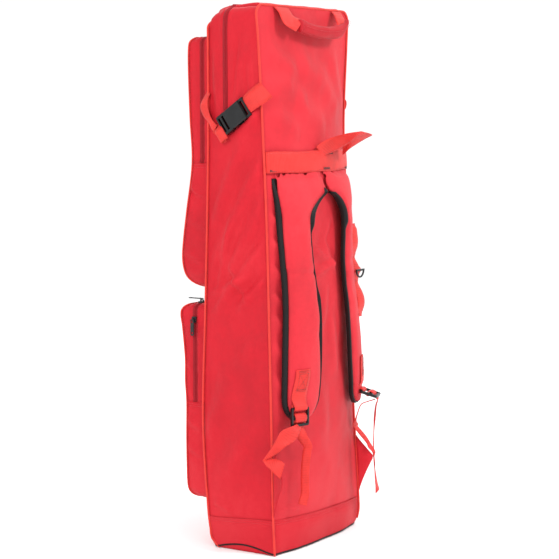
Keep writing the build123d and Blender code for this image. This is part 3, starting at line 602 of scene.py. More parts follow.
# folds of the back as (x, z) to (x, z)
BACK_FOLDS = metres((
    (135, 900, 70, 868, 20, 4.8), (60, 872, 100, 838, 18, 4.4), (40, 880, -30, 845, 24, 5.0),
    (130, 840, 40, 815, 21, 4.4), (-20, 860, -90, 790, 26, 4.6), (60, 800, -20, 765, 24, 4.0),
    (130, 790, 70, 755, 18, 4.6), (-80, 900, -120, 800, 22, 4.5), (-10, 600, 20, 560, 9, 4.0),
    (50, 545, 0, 520, 8, 5.2), (20, 560, -20, 500, 10, 5.0), (46, 500, -20, 520, 7, 4.6),
    (10, 480, 30, 400, 12, 3.6), (0, 440, -30, 300, 16, 4.5), (30, 300, 0, 200, 18, 3.0),
    (146, 655, 134, 640, 6, 3.0), (147, 610, 130, 594, 6, 3.4), (147, 565, 128, 552, 7, 3.4),
    (147, 520, 126, 498, 7, 3.6), (147, 470, 126, 452, 7, 3.6), (147, 430, 124, 410, 9, 3.4),
    (147, 380, 124, 360, 10, 3.0), (147, 320, 126, 300, 10, 2.6), (-143, 620, -126, 608, 8, 2.8),
    (-143, 540, -124, 525, 8, 2.8), (-143, 440, -124, 425, 9, 2.6), (60, 210, -80, 90, 30, 3.5),
    (140, 85, 80, 72, 6, 2.4),
))
FRONT_FOLDS = metres(((150, 455, 60, 470, 10, 2.6), (-140, 450, -50, 466, 10, 2.6)))


def row_height(level, y):
    """Rows are level up to STRETCH_FROM and then fan out to the roof's slope."""
    if level <= STRETCH_FROM:
        return level
    share = (table(ROOF, y, 1) - STRETCH_FROM) / (HEIGHT - STRETCH_FROM)
    return STRETCH_FROM + (level - STRETCH_FROM) * share


def side_levels():
    """Reference heights of the rows with the inset of the corner's rounding."""
    flat = SIDE_ROWS - CORNER_ROWS
    rows = [[(HEIGHT - CORNER) * k / flat, 0.0] for k in range(flat + 1)]
    for k in range(1, CORNER_ROWS + 1):
        ang = math.pi / 2 * k / CORNER_ROWS
        rows.append([HEIGHT - CORNER + CORNER * math.sin(ang), CORNER * (1 - math.cos(ang))])
    for edge in (ZIP_END, BOOT):
        min(rows[:flat], key=lambda row: abs(row[0] - edge))[0] = edge
    return rows


LEVELS = side_levels()
CUT_ROW = min(range(len(LEVELS)), key=lambda i: abs(LEVELS[i][0] - ZIP_END))


def round_in(z, radius):
    """Inset of a wall near the floor where the base corner is rounded."""
    if z >= radius:
        return 0.0
    return radius - math.sqrt(radius * radius - (radius - z) ** 2)


def side_puff(y, z, side):
    """Outward bulge and folds of the side gusset; zero on its seams."""
    front, back = front_y(z), seam_y(z, side)
    t = max(0.0, min(1.0, (y - front) / (back - front)))
    rim = ease(t / 0.10) * ease((1 - t) / 0.10)
    puff = 0.0045 * math.sin(math.pi * t) * ease(z / 0.10) * ease((HEIGHT - z) / 0.08 + 0.3)
    bend = crease(y, z, SIDE_FOLDS) if side > 0 else crease(y - 0.012, z + 0.02, SIDE_FOLDS) * 0.9
    soft = 0.0022 * wobble(y, z * 0.5, side, 0.05, 3.0) + 0.0008 * wobble(y, z, side, 0.016, 8.0)
    calm = ease((z - 0.062) / 0.02) * 0.75 + 0.25
    garage = 0.0
    if z > ZIP_END - 0.01:
        off = abs(y - ZIP_Y)
        garage = 0.0022 * math.exp(-((off - 0.0085) / 0.0026) ** 2)
        soft *= ease(off / 0.012)
        bend *= ease(off / 0.010)
    return rim * (puff + (bend * 1.5 + soft) * calm) + garage


def gusset_point(level, inset, side, y_ref, top_x=None, out=0.0):
    """Point of the strip that runs up the right side, over the top and down the left."""
    z = row_height(level, y_ref)
    swing = math.pi / 2 if top_x is not None else math.acos(max(-1.0, min(1.0, 1 - inset / CORNER)))
    normal_x, normal_z = math.cos(swing), math.sin(swing)
    puff = side_puff(y_ref, min(z, HEIGHT - CORNER), side)
    if top_x is not None:
        sag = 1 - (top_x / TOP_HALF) ** 2
        puff = puff * 0.5 + 0.0070 * min(1.0, 5 * sag) + 0.0012 * wobble(top_x, y_ref, 0, 0.04, 5.0)
        if y_ref > ZIP_Y:
            puff *= ease((seam_y(HEIGHT) - y_ref) / 0.010)
        puff *= ease((y_ref - FRONT) / 0.008)
        return Vector((top_x, y_ref, z + puff + out))
    x = half_width(min(z, HEIGHT)) - inset + (puff + out) * normal_x
    if side < 0:
        x -= round_in(z, LEFT_ROUND)
    y = y_ref + round_in(z, FRONT_ROUND) * ease(1 - (y_ref - front_y(z)) / 0.03)
    return Vector((side * x, y, z + (puff + out) * normal_z))


def gusset_ys(level, side=1):
    """Places across the gusset, front seam to back seam, with one column on the zip line."""
    z = min(level, HEIGHT)
    if level > STRETCH_FROM:
        z = lerp(level, 0.951, ease((level - STRETCH_FROM) / (HEIGHT - STRETCH_FROM)))
    front, back = front_y(z), seam_y(level, side)
    first = [lerp(front, ZIP_Y, k / FRONT_COLUMNS) for k in range(FRONT_COLUMNS + 1)]
    return first + [lerp(ZIP_Y, back, k / REAR_COLUMNS) for k in range(1, REAR_COLUMNS + 1)]


def top_x_at(k):
    half = TOP_HALF - CORNER
    return half - 2 * half * k / TOP_COLUMNS


def gusset_rows():
    rows = [[gusset_point(level, inset, 1, y) for y in gusset_ys(level)] for level, inset in LEVELS]
    for k in range(1, TOP_COLUMNS):
        rows.append([gusset_point(HEIGHT, CORNER, 1, y, top_x_at(k)) for y in gusset_ys(HEIGHT)])
    for level, inset in LEVELS[::-1]:
        rows.append([gusset_point(level, inset, -1, y) for y in gusset_ys(level, -1)])
    return rows


def face_rows(at_back, rows):
    """Front or back panel, its rim shared with the gusset."""
    last = len(LEVELS) - 1
    column = -1 if at_back else 0
    result = []
    for k in range(last):
        right, left = rows[k][column], rows[-1 - k][column]
        line = []
        for c in range(TOP_COLUMNS + 1):
            t = c / TOP_COLUMNS
            p = right.lerp(left, t)
            edge = min(t, 1 - t) * 2
            rim = ease(edge / 0.07) * ease((last - k) / 10)
            if at_back:
                p.y = lerp(p.y, back_y(p.x, p.z), ease(edge / 0.02)) + back_puff(p.x, p.z) * rim
            else:
                p.y = right.y - front_puff(p.x, p.z) * rim
            line.append(p)
        result.append(line)
    return result + [[rows[last + c][column] for c in range(TOP_COLUMNS + 1)]]


def back_puff(x, z):
    under = 0.25 if 0.64 < z < 0.73 else 1.0
    puff = 0.0015 * math.sin(math.pi * min(1.0, z / HEIGHT))
    soft = 0.0022 * wobble(x, z * 0.6, 0, 0.06, 11.0) + 0.0007 * wobble(x, z, 0, 0.02, 4.0)
    return puff + (crease(x, z, BACK_FOLDS) + soft) * under


def front_puff(x, z):
    covered = (0.09 < z < 0.44 or 0.48 < z < 0.92) and abs(x) < 0.139
    soft = 0.0016 * wobble(x, z * 0.6, 1, 0.05, 2.0)
    bulge = 0.0 if covered else 0.0035 * (1 - (x / 0.155) ** 2) * (1 - ease((z - 0.90) / 0.04))
    return bulge + (crease(x, z, FRONT_FOLDS) + soft) * (0.3 if covered else 1.0)


def build_shell():
    gusset = gusset_rows()
    front, back = face_rows(False, gusset), face_rows(True, gusset)
    total = len(gusset) - 1
    top = len(LEVELS) - 1
    centre = (0, -0.01, 0.5)

    def freed(r, c):
        return c < FRONT_COLUMNS and CUT_ROW <= r < total - CUT_ROW

    for name, low, high, node in (("side_right_cloth", 0, top, "side_panel_right"),
                                  ("side_left_cloth", total - top, total, "side_panel_left"),
                                  ("roof_cloth", top, total - top, "roof_rear_gusset")):
        strip = quads(gusset, lambda r, c: low <= r < high and not freed(r, c))
        attach(cloth_piece(name, strip, centre), "bag", (node,))
    face = cloth_piece("front_cloth", quads(front, lambda r, c: r < CUT_ROW), centre)
    attach(face, "bag", ("front_panel",))
    # painted light: the padded back wears the lit copy of the red
    pad = cloth_piece("back_pad", quads(back), centre, M_BACK_PAINTED_LIGHT, PAD_DEPTH)
    attach(pad, "bag", ("back_panel",))
    lid = cloth_piece("flap_front_cloth", quads(front, lambda r, c: r >= CUT_ROW), centre)
    attach(lid, "main_flap", ("flap_front_panel",), FLAP_FOLD)
    strip = cloth_piece("flap_gusset_cloth", quads(gusset, freed), centre)
    attach(strip, "main_flap", ("flap_gusset",), FLAP_FOLD)
    return gusset


def seam_path(rows, column, start, stop):
    """Path along a seam of the gusset, front or back, pushed a little outward."""
    points = []
    for r in range(start, stop, 3):
        p = rows[r][column].copy()
        p.y += 0.0010 if column else -0.0010
        if min(r, len(rows) - 1 - r) < len(LEVELS) - 4:
            p.x += 0.0012 if r < (len(rows) - 1) / 2 else -0.0012
        else:
            p.z += 0.0012
        points.append(p)
    return points


def build_piping(gusset):
    count = len(gusset)
    for name, column, start, stop, node, fold in (
            ("rear_piping_cord", -1, 0, count, "rear_piping", None),
            ("front_piping_right", 0, 0, CUT_ROW + 1, "front_piping", None),
            ("front_piping_left", 0, count - 1 - CUT_ROW, count, "front_piping", None),
            ("flap_piping_cord", 0, CUT_ROW - 2, count - CUT_ROW + 1, "flap_piping", FLAP_FOLD)):
        cord = tube(name, seam_path(gusset, column, start, stop), PIPING, M_PIPING)
        attach(cord, "main_flap" if fold else "bag", (node,), fold)


# ---- base and boot --------------------------------------------------------
BOOT_FRONT = 0.0555         # the boot's seam dips to here at the front
HEM = 0.0026
SAG = 0.013                 # how far the slack left rear corner drops the seam
BOOT_SHARES = (0, 0.03, 0.08, 0.16, 0.28, 0.42, 0.56, 0.70, 0.80, 0.85, 0.88, 0.905, 0.93, 0.955, 0.98, 1.0)
STITCH_SHARES = (0.88, 0.955)
BASE_Z = 0.0012             # the base cloth, just off the floor
BOOT_THICK = 0.0015
BINDING = 0.0017            # radius of the tape bound round the hem


def boot_top(side, y):
    """Height of the boot's seam: it dips to the front along the sides and sags at the slack corner."""
    sag = SAG * ease((y - 0.020) / 0.060) if side < 0 else 0.0
    return BOOT_FRONT + 0.0085 * ease((y + 0.074) / 0.139) - sag


def hem_lift(y, z):
    """The side's lower edge arches up off the floor between its corners."""
    t = max(0.0, min(1.0, (y + 0.064) / 0.132))
    return 0.0095 * math.sin(math.pi * t) ** 1.4 * ease(1 - z / 0.05)


def boot_side(side, share, out):
    points = []
    for k in range(25):
        y = lerp(front_y(0.0), seam_y(0.0), k / 24)
        z = lerp(HEM, boot_top(side, y), share)
        y = lerp(front_y(z), seam_y(z), k / 24)
        p = gusset_point(z, 0.0, side, y, out=out)
        p.z += hem_lift(y, z)
        points.append(p)
    return points


def boot_ring(share, out):
    """One level of the boot, all round, share of the way up to its seam."""
    behind, ahead = [], []
    for k in range(1, 48):
        t = k / 48
        edge = min(k, 48 - k) / 24
        z = lerp(HEM, BOOT, share)
        a, b = (gusset_point(z, 0.0, side, seam_y(z)) for side in (1, -1))
        x = lerp(a.x, b.x, t)
        y = lerp(a.y, back_y(x, z), ease(edge / 0.05)) + out * ease(edge / 0.08)
        y += (back_puff(x, z) * 0.8 + 0.007 * ease(edge / 0.5) * ease((BOOT - z) / 0.02)) * ease(edge / 0.1)
        behind.append(Vector((x, y, z - SAG * t * share)))
        z = lerp(HEM, BOOT_FRONT, share)
        a, b = (gusset_point(z, 0.0, side, front_y(z)) for side in (-1, 1))
        ahead.append(Vector((lerp(a.x, b.x, t), lerp(a.y, b.y, t) - out * ease(edge / 0.08), z)))
    return boot_side(1, share, out) + behind + boot_side(-1, share, out)[::-1] + ahead


def build_boot():
    rows = []
    for share in BOOT_SHARES:
        # a folded hem under two rows of stitching, pulled in where the thread bites
        hem = 0.0006 if share > 0.82 else 0.0
        bite = 0.0005 if share in STITCH_SHARES else 0.0
        rows.append(boot_ring(share, 0.0014 + hem - bite))
    ring = len(rows[0])
    boot = tidy(add_object("boot_cloth", sum(rows, []), ring_faces(len(rows), ring), M_BASE))
    face_along(boot, lambda at: Vector((at.x, at.y, 0)))
    attach(solidify(boot, BOOT_THICK, -0.6), "bag", ("boot_band",))
    hem = rows[0]
    # the hem's binding tape, in black, also gives the dark shadow line under the boot: partly real binding, partly
    # painted shadow
    tape = tube("base_binding_tape_and_shadow", hem + hem[:1], BINDING, M_BINDING, steps=1, sides=6)
    attach(tape, "bag", ("base_binding",))
    # base cloth, just off the floor, turned up to the hem all round
    centre = Vector((0, 0, 0.0014))
    verts = []
    shares = (1.0, 0.985, 0.96, 0.9, 0.75, 0.5, 0.25)
    for share in shares:
        for p in hem:
            q = centre.lerp(p, share)
            q.z = lerp(BASE_Z, p.z - 0.0008, ease((share - 0.93) / 0.07))
            verts.append(q)
    last = len(verts) - ring
    faces = ring_faces(len(shares), ring)
    faces += [(last + k, last + (k + 1) % ring, len(verts)) for k in range(ring)]
    base = tidy(add_object("base_cloth", verts + [centre], faces, M_BASE), 1e-6)
    attach(face_along(base, lambda at: Vector((0, 0, -1))), "bag", ("base_panel",))
    rows = [boot_ring(share, 0.0022) for share in STITCH_SHARES]
    sew("boot_stitching", [row + row[:1] for row in rows], normal=lambda p: (p.x * 0.3, p.y, 0))


# ---- zips -----------------------------------------------------------------
def build_zip(name, body, fold, across, wide, columns, coil_out, coil_radius, nodes):
    """Tapes and coils each side of a zip line. across(low, high, out, count) gives rows over it."""
    halves = (("rear", 0.0, wide, 0.0010), ("front", -wide, -0.0003, -0.0012))
    for (half, low, high, _), node in zip(halves, nodes):
        rows = across(low, high, 0.0007, columns)
        tape = solidify(tidy(add_object(f"{name}_{half}_tape", *collect(quads(rows)), M_ZIP)), TAPE, 0.0)
        follow(tape, half, body, fold, node)
    for half, _, _, at in halves:
        path = [row[0] for row in across(at, 0.0, coil_out, 2)]
        follow(coil(f"{name}_{half}_coil", path, coil_radius), half, body, fold)


def follow(obj, half, body, fold, nodes=()):
    """The rear half of a zip rides the bag; the front one is passed to attach with the flap's body and fold."""
    if half == "rear":
        return attach(obj, "bag", nodes)
    return attach(obj, body, nodes, fold)


def build_main_zip():
    last = len(LEVELS) - 1

    def across(low, high, out, count):
        spots = [(*LEVELS[k], 1, None) for k in range(CUT_ROW, last + 1)]
        spots += [(HEIGHT, CORNER, 1, top_x_at(k)) for k in range(1, TOP_COLUMNS)]
        spots += [(*LEVELS[k], -1, None) for k in range(last, CUT_ROW - 1, -1)]
        ys = [ZIP_Y + lerp(low, high, c / (count - 1)) for c in range(count)]
        return [[gusset_point(level, inset, side, y, top_x, out) for y in ys]
                for level, inset, side, top_x in spots]

    build_zip("main_zip", "main_flap", FLAP_FOLD, across, 0.0048, 4, 0.0014, 0.0011,
              (("main_zip_fixed_tape",), ("main_zip_flap_tape",)))


# ---- pockets --------------------------------------------------------------
# low and high ends, fold line, zip line, half width, radii of the lower and upper corners,
# the front seam as (height, y), and folds of the gusset
UPPER = dict(
    name="upper", low=0.473, high=0.924, fold=0.70025, zip_y=-0.093, half=0.139, below=0.030, above=0.012,
    face=metres(((473, -94), (476, -108), (486, -124), (502, -133), (525, -137.5), (560, -135), (610, -128),
                 (700, -115), (780, -119), (860, -122), (905, -122), (918, -119), (924, -112))),
    folds=metres(((-125, 660, -85, 640, 6, 3.6), (-130, 690, -100, 640, 7, 3.0), (-128, 600, -80, 585, 7, 2.6),
                  (-130, 540, -90, 520, 8, 3.0), (-120, 500, -80, 505, 7, 2.4))),
)
LOWER = dict(
    name="lower", low=0.083, high=0.440, fold=0.26225, zip_y=-0.111, half=0.139, below=0.022, above=0.012,
    face=metres(((83, -110), (86, -119), (93, -125), (110, -128.5), (150, -130), (200, -130.5), (262, -130),
                 (300, -132.5), (340, -132.5), (400, -138.5), (425, -142), (436, -136), (440, -129))),
    folds=metres(((-140, 230, -95, 215, 8, 2.6), (-138, 180, -90, 165, 8, 2.6), (-130, 330, -90, 320, 6, 2.2),
                  (-130, 390, -95, 375, 6, 2.4))),
)
POCKET_TOP = 44             # columns across a pocket
POCKET_FLAT = 78            # rows up a pocket between its corners
POCKET_CORNER = 9           # rows round each corner
FLAP_COLUMNS = 6            # gusset columns in front of the zip
STRIP_COLUMNS = 8           # and behind it


def pocket_loop(p):
    """Outline of the pocket from the front, as (x, z, normal x, normal z) from the lower right up."""
    levels = []
    for k in range(POCKET_CORNER):
        s, c = math.sin(math.pi / 2 * k / POCKET_CORNER), math.cos(math.pi / 2 * k / POCKET_CORNER)
        levels.append((p["low"] + p["below"] * (1 - c), p["below"] * (1 - s), -c))
    marks = [lerp(p["low"] + p["below"], p["high"] - p["above"], k / POCKET_FLAT) for k in range(POCKET_FLAT + 1)]
    near = min(range(len(marks)), key=lambda i: abs(marks[i] - p["fold"]))
    marks[near] = p["fold"]
    levels += [(z, 0.0, 0.0) for z in marks]
    for k in range(1, POCKET_CORNER + 1):
        s, c = math.sin(math.pi / 2 * k / POCKET_CORNER), math.cos(math.pi / 2 * k / POCKET_CORNER)
        levels.append((p["high"] - p["above"] + p["above"] * s, p["above"] * (1 - c), s))

    def side(sign, order):
        return [(sign * (p["half"] - inset), z, sign * math.sqrt(max(0.0, 1 - up * up)), up)
                for z, inset, up in order]

    def end(sign, radius, z):
        flat = p["half"] - radius
        return [(sign * (flat - 2 * flat * k / POCKET_TOP), z, 0.0, sign) for k in range(1, POCKET_TOP)]

    loop = side(1, levels) + end(1.0, p["above"], p["high"]) + side(-1, levels[::-1])
    return loop + end(-1.0, p["below"], p["low"]), len(levels), POCKET_CORNER + near


def pocket_span(p, z):
    """Front seam, zip line and bag seam of the gusset at a height."""
    face = table(p["face"], z, 1)
    return face, max(p["zip_y"], face + 0.004), front_y(z) - 0.0006


def pocket_row(p, spot, ys, out=0.0):
    """Points across the pocket's gusset at a spot of its outline."""
    x, z, nx, nz = spot
    face, _, seam = pocket_span(p, z)
    row = []
    for y in ys:
        depth = (y - face) / (seam - face)
        rim = ease(depth / 0.12) * ease((1 - depth) / 0.12)
        puff = 0.0030 * math.sin(math.pi * depth)
        if abs(nz) < 0.5:
            puff += crease(y, z, p["folds"]) + 0.0016 * wobble(y, z, x, 0.02, 6.0)
        garage = 0.0
        if z > p["fold"]:
            off = abs(y - p["zip_y"])
            garage = 0.0016 * math.exp(-((off - 0.0078) / 0.0024) ** 2)
            puff *= ease(off / 0.014)
        push = rim * puff + garage * rim + out
        row.append(Vector((x + nx * push, y, z + nz * push)))
    return row


def pocket_face_y(p, x, z):
    """Front of the pocket: pillowed across its width, with a few soft hollows."""
    base = table(p["face"], z, 1)
    t = min(1.0, abs(x) / p["half"])
    middle = (p["low"] + p["high"]) / 2
    v = (z - middle) / (p["high"] - middle)
    rim = ease((1 - t) / 0.16) * ease((1 - abs(v)) / 0.10)
    pillow = 0.0070 * (1 - t ** 3) * (1 - abs(v) ** 4)
    soft = 0.0030 * wobble(x, z * 0.6, 3, 0.07, 9.0) + 0.0010 * wobble(x, z, 5, 0.022, 1.0)
    waist = -0.0020 * math.exp(-((z - p["fold"]) / 0.006) ** 2)
    return base - rim * (pillow + soft + waist)


def pocket_face(p, rows, side_count):
    """Front panel of a pocket from the rim of its gusset."""
    ring = len(rows)
    left_end = 2 * side_count + POCKET_TOP - 2
    face = [[rows[-c][0] for c in range(POCKET_TOP + 1)]]
    for k in range(1, side_count - 1):
        right, left = rows[k][0], rows[left_end - k][0]
        line = [right.lerp(left, c / POCKET_TOP) for c in range(1, POCKET_TOP)]
        for q in line:
            q.y = pocket_face_y(p, q.x, q.z)
        face.append([right] + line + [left])
    face.append([rows[side_count - 1 + c][0] for c in range(POCKET_TOP + 1)])
    return face


def build_pocket(p):
    name = p["name"]
    body = f"{name}_pocket_front"
    loop, side_count, fold_row = pocket_loop(p)
    rows = []
    for spot in loop:
        face, line, seam = pocket_span(p, spot[1])
        ys = [lerp(face, line, k / FLAP_COLUMNS) for k in range(FLAP_COLUMNS)]
        rows.append(pocket_row(p, spot, ys + [lerp(line, seam, k / STRIP_COLUMNS) for k in range(STRIP_COLUMNS + 1)]))
    ring = len(loop)
    left_end = 2 * side_count + POCKET_TOP - 2
    upper = range(fold_row, left_end - fold_row)
    centre = (0, front_y(0.5) - 0.01, (p["low"] + p["high"]) / 2)
    seam_at = table(p["face"], p["fold"], 1)
    fold = ((0, seam_at, p["fold"] - 0.002), (0, seam_at, p["fold"] + 0.022))
    front = pocket_face(p, rows, side_count)
    closed = rows + rows[:1]
    basin = [*quads(front, lambda r, c: r < fold_row), *quads(closed, lambda r, c: r not in upper)]
    flap = [*quads(front, lambda r, c: r >= fold_row), *quads(closed, lambda r, c: r in upper and c < FLAP_COLUMNS)]
    strip = quads(closed, lambda r, c: r in upper and c >= FLAP_COLUMNS)
    basin = cloth_piece(f"{name}_pocket_basin_cloth", basin, centre)
    strip = cloth_piece(f"{name}_pocket_strip_cloth", strip, centre)
    flap = cloth_piece(f"{name}_pocket_front_cloth", flap, centre)
    attach(basin, "bag", (f"{name}_pocket_basin",))
    attach(strip, "bag", (f"{name}_pocket_strip",))
    attach(flap, body, (f"{name}_pocket_flap",), fold)

    def across(low, high, out, count):
        result = []
        for r in range(upper.start, upper.stop + 1):
            line = pocket_span(p, loop[r][1])[1]
            result.append(pocket_row(p, loop[r], [line + lerp(low, high, k / (count - 1)) for k in range(count)], out))
        return result

    build_zip(f"{name}_zip", body, fold, across, 0.0046, 3, 0.0013, 0.0010, ((f"{name}_pocket_zip",), ()))
    # piping round the front edge, in two lengths: a low one that rides the bag and a high one passed the flap's fold
    for part, run in (("low", range(upper.stop, ring + fold_row + 1, 2)), ("high", range(fold_row, upper.stop + 1, 2))):
        path = []
        for r in run:
            _, _, nx, nz = loop[r % ring]
            path.append(rows[r % ring][0] + Vector((nx, -1, nz)) * 0.0008)
        cord = tube(f"{name}_pocket_piping_{part}", path, POCKET_PIPING, M_PIPING)
        attach(cord, "bag" if part == "low" else body, fold=None if part == "low" else fold)
    # stitched seam of the gusset under the zip, and a row beside the tapes
    seams = []
    for base in (fold_row - 1, fold_row - 2):
        for r in (base, left_end - base):
            seams.append([q + Vector((math.copysign(0.0007, q.x), 0, 0)) for q in rows[r][1:-1]])
    sew(f"{name}_pocket_seam", seams, normal=lambda q: (math.copysign(1, q.x), 0, 0))
    line = [row[0] for row in across(0.0062, 0.0063, 0.0006, 2)]
    sew(f"{name}_zip_stitching", [line], normal=lambda q: (q.x, 0, 0.02 if q.z < p["high"] - 0.01 else 1))


# ---- straps, yoke and webbing on the back ---------------------------------
BAND_HALF = 0.1545
BAND_LOW, BAND_HIGH = 0.684, 0.722
# bartacks of the band: start x, end x, height
BARTACKS = metres(((150, 125, 688.5), (12, -12, 689.5), (-32, -10, 716.5), (-104, -130, 686.8)))


def rear(x, z, lift=0.0):
    """Point standing lift outside the padded back."""
    return Vector((x, back_y(x, z) + lift, z))


def build_band():
    def spot(u, v):
        x, z = lerp(BAND_HALF, -BAND_HALF, u), lerp(BAND_LOW, BAND_HIGH, v)
        edge = 1 - abs(x) / BAND_HALF
        lift = lerp(0.0016, 0.0066, ease(edge / 0.05)) + 0.0006 * math.sin(math.pi * v)
        lift += 0.0012 * wobble(x, z, 0, 0.05, 21.0) * ease(edge / 0.1)
        return rear(x, z + 0.0006 * math.sin(x * 60), lift)

    band = laid_strip("anchor_band_webbing", grid(61, 9, spot), WEB_THICK, M_WEB_LEVEL)
    attach(band, "bag", ("anchor_band",))
    rows = grid(2, 61, lambda u, v: rear(lerp(0.150, -0.150, v), lerp(0.6868, 0.7192, u), 0.0080))
    sew("anchor_band_stitching", rows)
    bars = []
    for x0, x1, z in BARTACKS:
        lift = 0.0082 if abs(x0) < 0.11 else 0.0070
        bars += grid(5, 9, lambda u, v: rear(lerp(x0, x1, v), z + 0.0032 * (u - 0.5), lift))
    sew("band_bartacks", bars, material=M_BLACK_THREAD, pitch=0.0016, length=0.0015, radius=0.0004)


def strap_stations(rows):
    """From the bottom up: height, inner edge x, outer edge x, stand-off (mm), share of the full thickness."""
    return tuple((*(v / 1000 for v in row[:4]), row[4]) for row in rows)


STRAP_RIGHT = strap_stations((
    (240, 60, 132, 5, 1), (262, 53, 134, 6, 1), (285, 49, 135, 6.5, 1), (330, 47.5, 135.5, 8, 1),
    (388, 48, 134.5, 8.5, 1), (438, 51, 133.5, 9, 1), (480, 57, 134.5, 8.5, 1), (528, 64, 136.5, 7, 1),
    (580, 65.5, 139, 5, 1), (606, 61, 139.5, 4, 1), (620, 53.5, 140, 3.5, 1), (632, 41, 140.5, 3, 1),
    (641, 26, 141, 2.5, 1), (649, 10, 141.5, 2, 1), (660, 11, 141.8, 1.5, 0.90), (674, 14, 141.5, 1, 0.62),
    (684, 16, 141, 0.5, 0.34), (702, 18, 140, 0.3, 0.30),
))
STRAP_LEFT = strap_stations((
    (240, -86, -148, 9, 1), (262, -79, -148, 10, 1), (290, -72, -145, 12, 1), (330, -62, -136, 13, 1),
    (380, -53, -126, 13.5, 1), (438, -43, -113, 13, 1), (480, -34, -103, 11.5, 1), (528, -30, -98, 9, 1),
    (570, -32, -102, 6, 1), (606, -30, -110, 4, 1), (630, -21, -123, 3.5, 1), (641, -9, -129, 3, 1),
    (649, 6, -135, 2, 1), (660, 10.5, -135.5, 1.5, 0.90), (674, 13.5, -135, 1, 0.62),
    (684, 15.5, -134.5, 0.5, 0.34), (702, 17.5, -133, 0.3, 0.30),
))
# the left strap rolls round the slack corner: height, inner edge raised, outer edge dropped
LEFT_ROLL = metres((
    (330, 0, 0), (380, 0, 2), (438, 0, 5), (480, 0, 8), (528, 2, 8), (570, 7, 5.5), (610, 10, 3.5),
    (641, 4, 2), (660, 0, 0),
))
STRAP_TOP = 0.691
TIP_FROM, TIP_END = 0.286, 0.241
EDGE = 0.0085               # height of the bound edge
CROWN = 0.0058              # padding above it
LEFT_SHIFT = 0.012          # the left strap's creases sit this much higher
# creases of a strap: height at the middle, slope across, width, depth
STRAP_CREASES = (
    (0.5060, 0.050, 0.0040, -0.0030), (0.5170, 0.060, 0.0060, 0.0016), (0.5500, -0.080, 0.0120, -0.0012),
    (0.5950, -0.350, 0.0110, -0.0014), (0.4600, 0.060, 0.0130, -0.0011), (0.4250, 0.030, 0.0120, 0.0010),
    (0.3900, -0.040, 0.0150, -0.0010),
)


def strap_section(stations, z):
    """Middle x, half width, stand-off and thickness share of a strap at a height."""
    x_in, x_out, gap, share = (table(stations, z, column) for column in (1, 2, 3, 4))
    half = abs(x_out - x_in) / 2
    if z < TIP_FROM:
        t = min(1.0, (TIP_FROM - z) / (TIP_FROM - TIP_END))
        half *= max(0.0, 1 - t ** 2.5) ** (1 / 2.5)
    return (x_in + x_out) / 2, half, gap, share


def roll(stations, z, a):
    """Extra stand-off across the left strap, which leans over the slack corner."""
    if stations is not STRAP_LEFT:
        return 0.0
    return lerp(-table(LEFT_ROLL, z, 2), table(LEFT_ROLL, z, 1), (a + 1) / 2)


def strap_face(stations, z, a, lift=0.0):
    """Point on the padded face; a runs -1 to 1 across, positive outward in x."""
    x_mid, half, gap, share = strap_section(stations, z)
    x = x_mid + a * half
    dome = CROWN * (1 - abs(a) ** 2.6)
    for z0, slope, width, depth in STRAP_CREASES:
        z0 += LEFT_SHIFT if stations is STRAP_LEFT else 0.0
        k = (z - z0 - slope * a * half) / width
        dome += depth * math.exp(-k * k) * (1 - a * a * 0.6)
    dome += 0.0010 * wobble(x, z, 2, 0.035, 31.0) * (1 - a ** 4)
    return rear(x, z, gap + (EDGE + dome) * share + lift + roll(stations, z, a))


def strap_across(stations, x, z, lift):
    """Point on the padded face at a given x."""
    x_mid, half, _, _ = strap_section(stations, z)
    return strap_face(stations, z, (x - x_mid) / max(half, 1e-6), lift)


def strap_heights():
    rows = []
    z = STRAP_TOP
    while z > TIP_FROM:
        rows.append(z)
        z -= 0.004
    return rows + [lerp(TIP_FROM, TIP_END + 0.0002, math.sin(math.pi / 2 * k / 14)) for k in range(15)]


def pad_ring(stations, z):
    """Closed section of the padding: its domed face and its flat back."""
    x_mid, half, gap, share = strap_section(stations, z)
    ring = []
    shrink = max(0.0, half - 0.0012) / max(half, 1e-6)
    for k in range(19):
        a = -1 + 2 * k / 18
        ring.append(strap_face(stations, z, a * shrink, -0.0009 * abs(a) ** 8))
    shrink = max(0.0, half - 0.0020) / max(half, 1e-6)
    for k in range(9):
        a = 1 - 2 * k / 8
        ring.append(rear(x_mid + a * half * shrink, z, gap + 0.0020 * share + roll(stations, z, a)))
    return ring


def binding_rim(z, side, inner, half):
    """Half the binding's section, as (distance from the middle, height), from the back over the edge.

    The inner edges arch over where the straps part, and every edge dips under the pad
    where the photograph hides it.
    """
    seam_in = ease((z - 0.646) / 0.006)
    out, wrap, arch, hidden = half + 0.0014, 0.0030, 0.0, 0.0
    if inner:
        arch = ease((z - 0.575) / 0.02) * ease((0.660 - z) / 0.006)
        wrap += (0.0085 if side > 0 else 0.0030) * arch
        hidden = 0.0060 * ease((z - 0.652) / 0.006)
        if side > 0:
            hidden = max(hidden, 0.0040 * ease((0.592 - z) / 0.02) * ease((z - 0.455) / 0.03))
        if seam_in:
            out = half - 0.0050 * seam_in
    elif side > 0:
        hidden = 0.0050 * ease((z - 0.630) / 0.050)
    rim = [(half * 0.4, 0.0)]
    for w, h in ((out - 0.0012, 0.0003), (out - 0.0002, 0.0012), (out, 0.0030), (out, EDGE - 0.0022),
                 (out - 0.0003, EDGE - 0.0004), (out - 0.0014, EDGE + 0.0007 + 0.0030 * arch),
                 (out - wrap, EDGE + wrap * 0.45 + 0.0042 * arch), (out - wrap - 0.0014, EDGE - 0.0010)):
        rim.append((max(w, 0.0), h - hidden * ease((h - 0.002) / 0.005)))
    return rim + [(half * 0.4, EDGE - 0.004)]


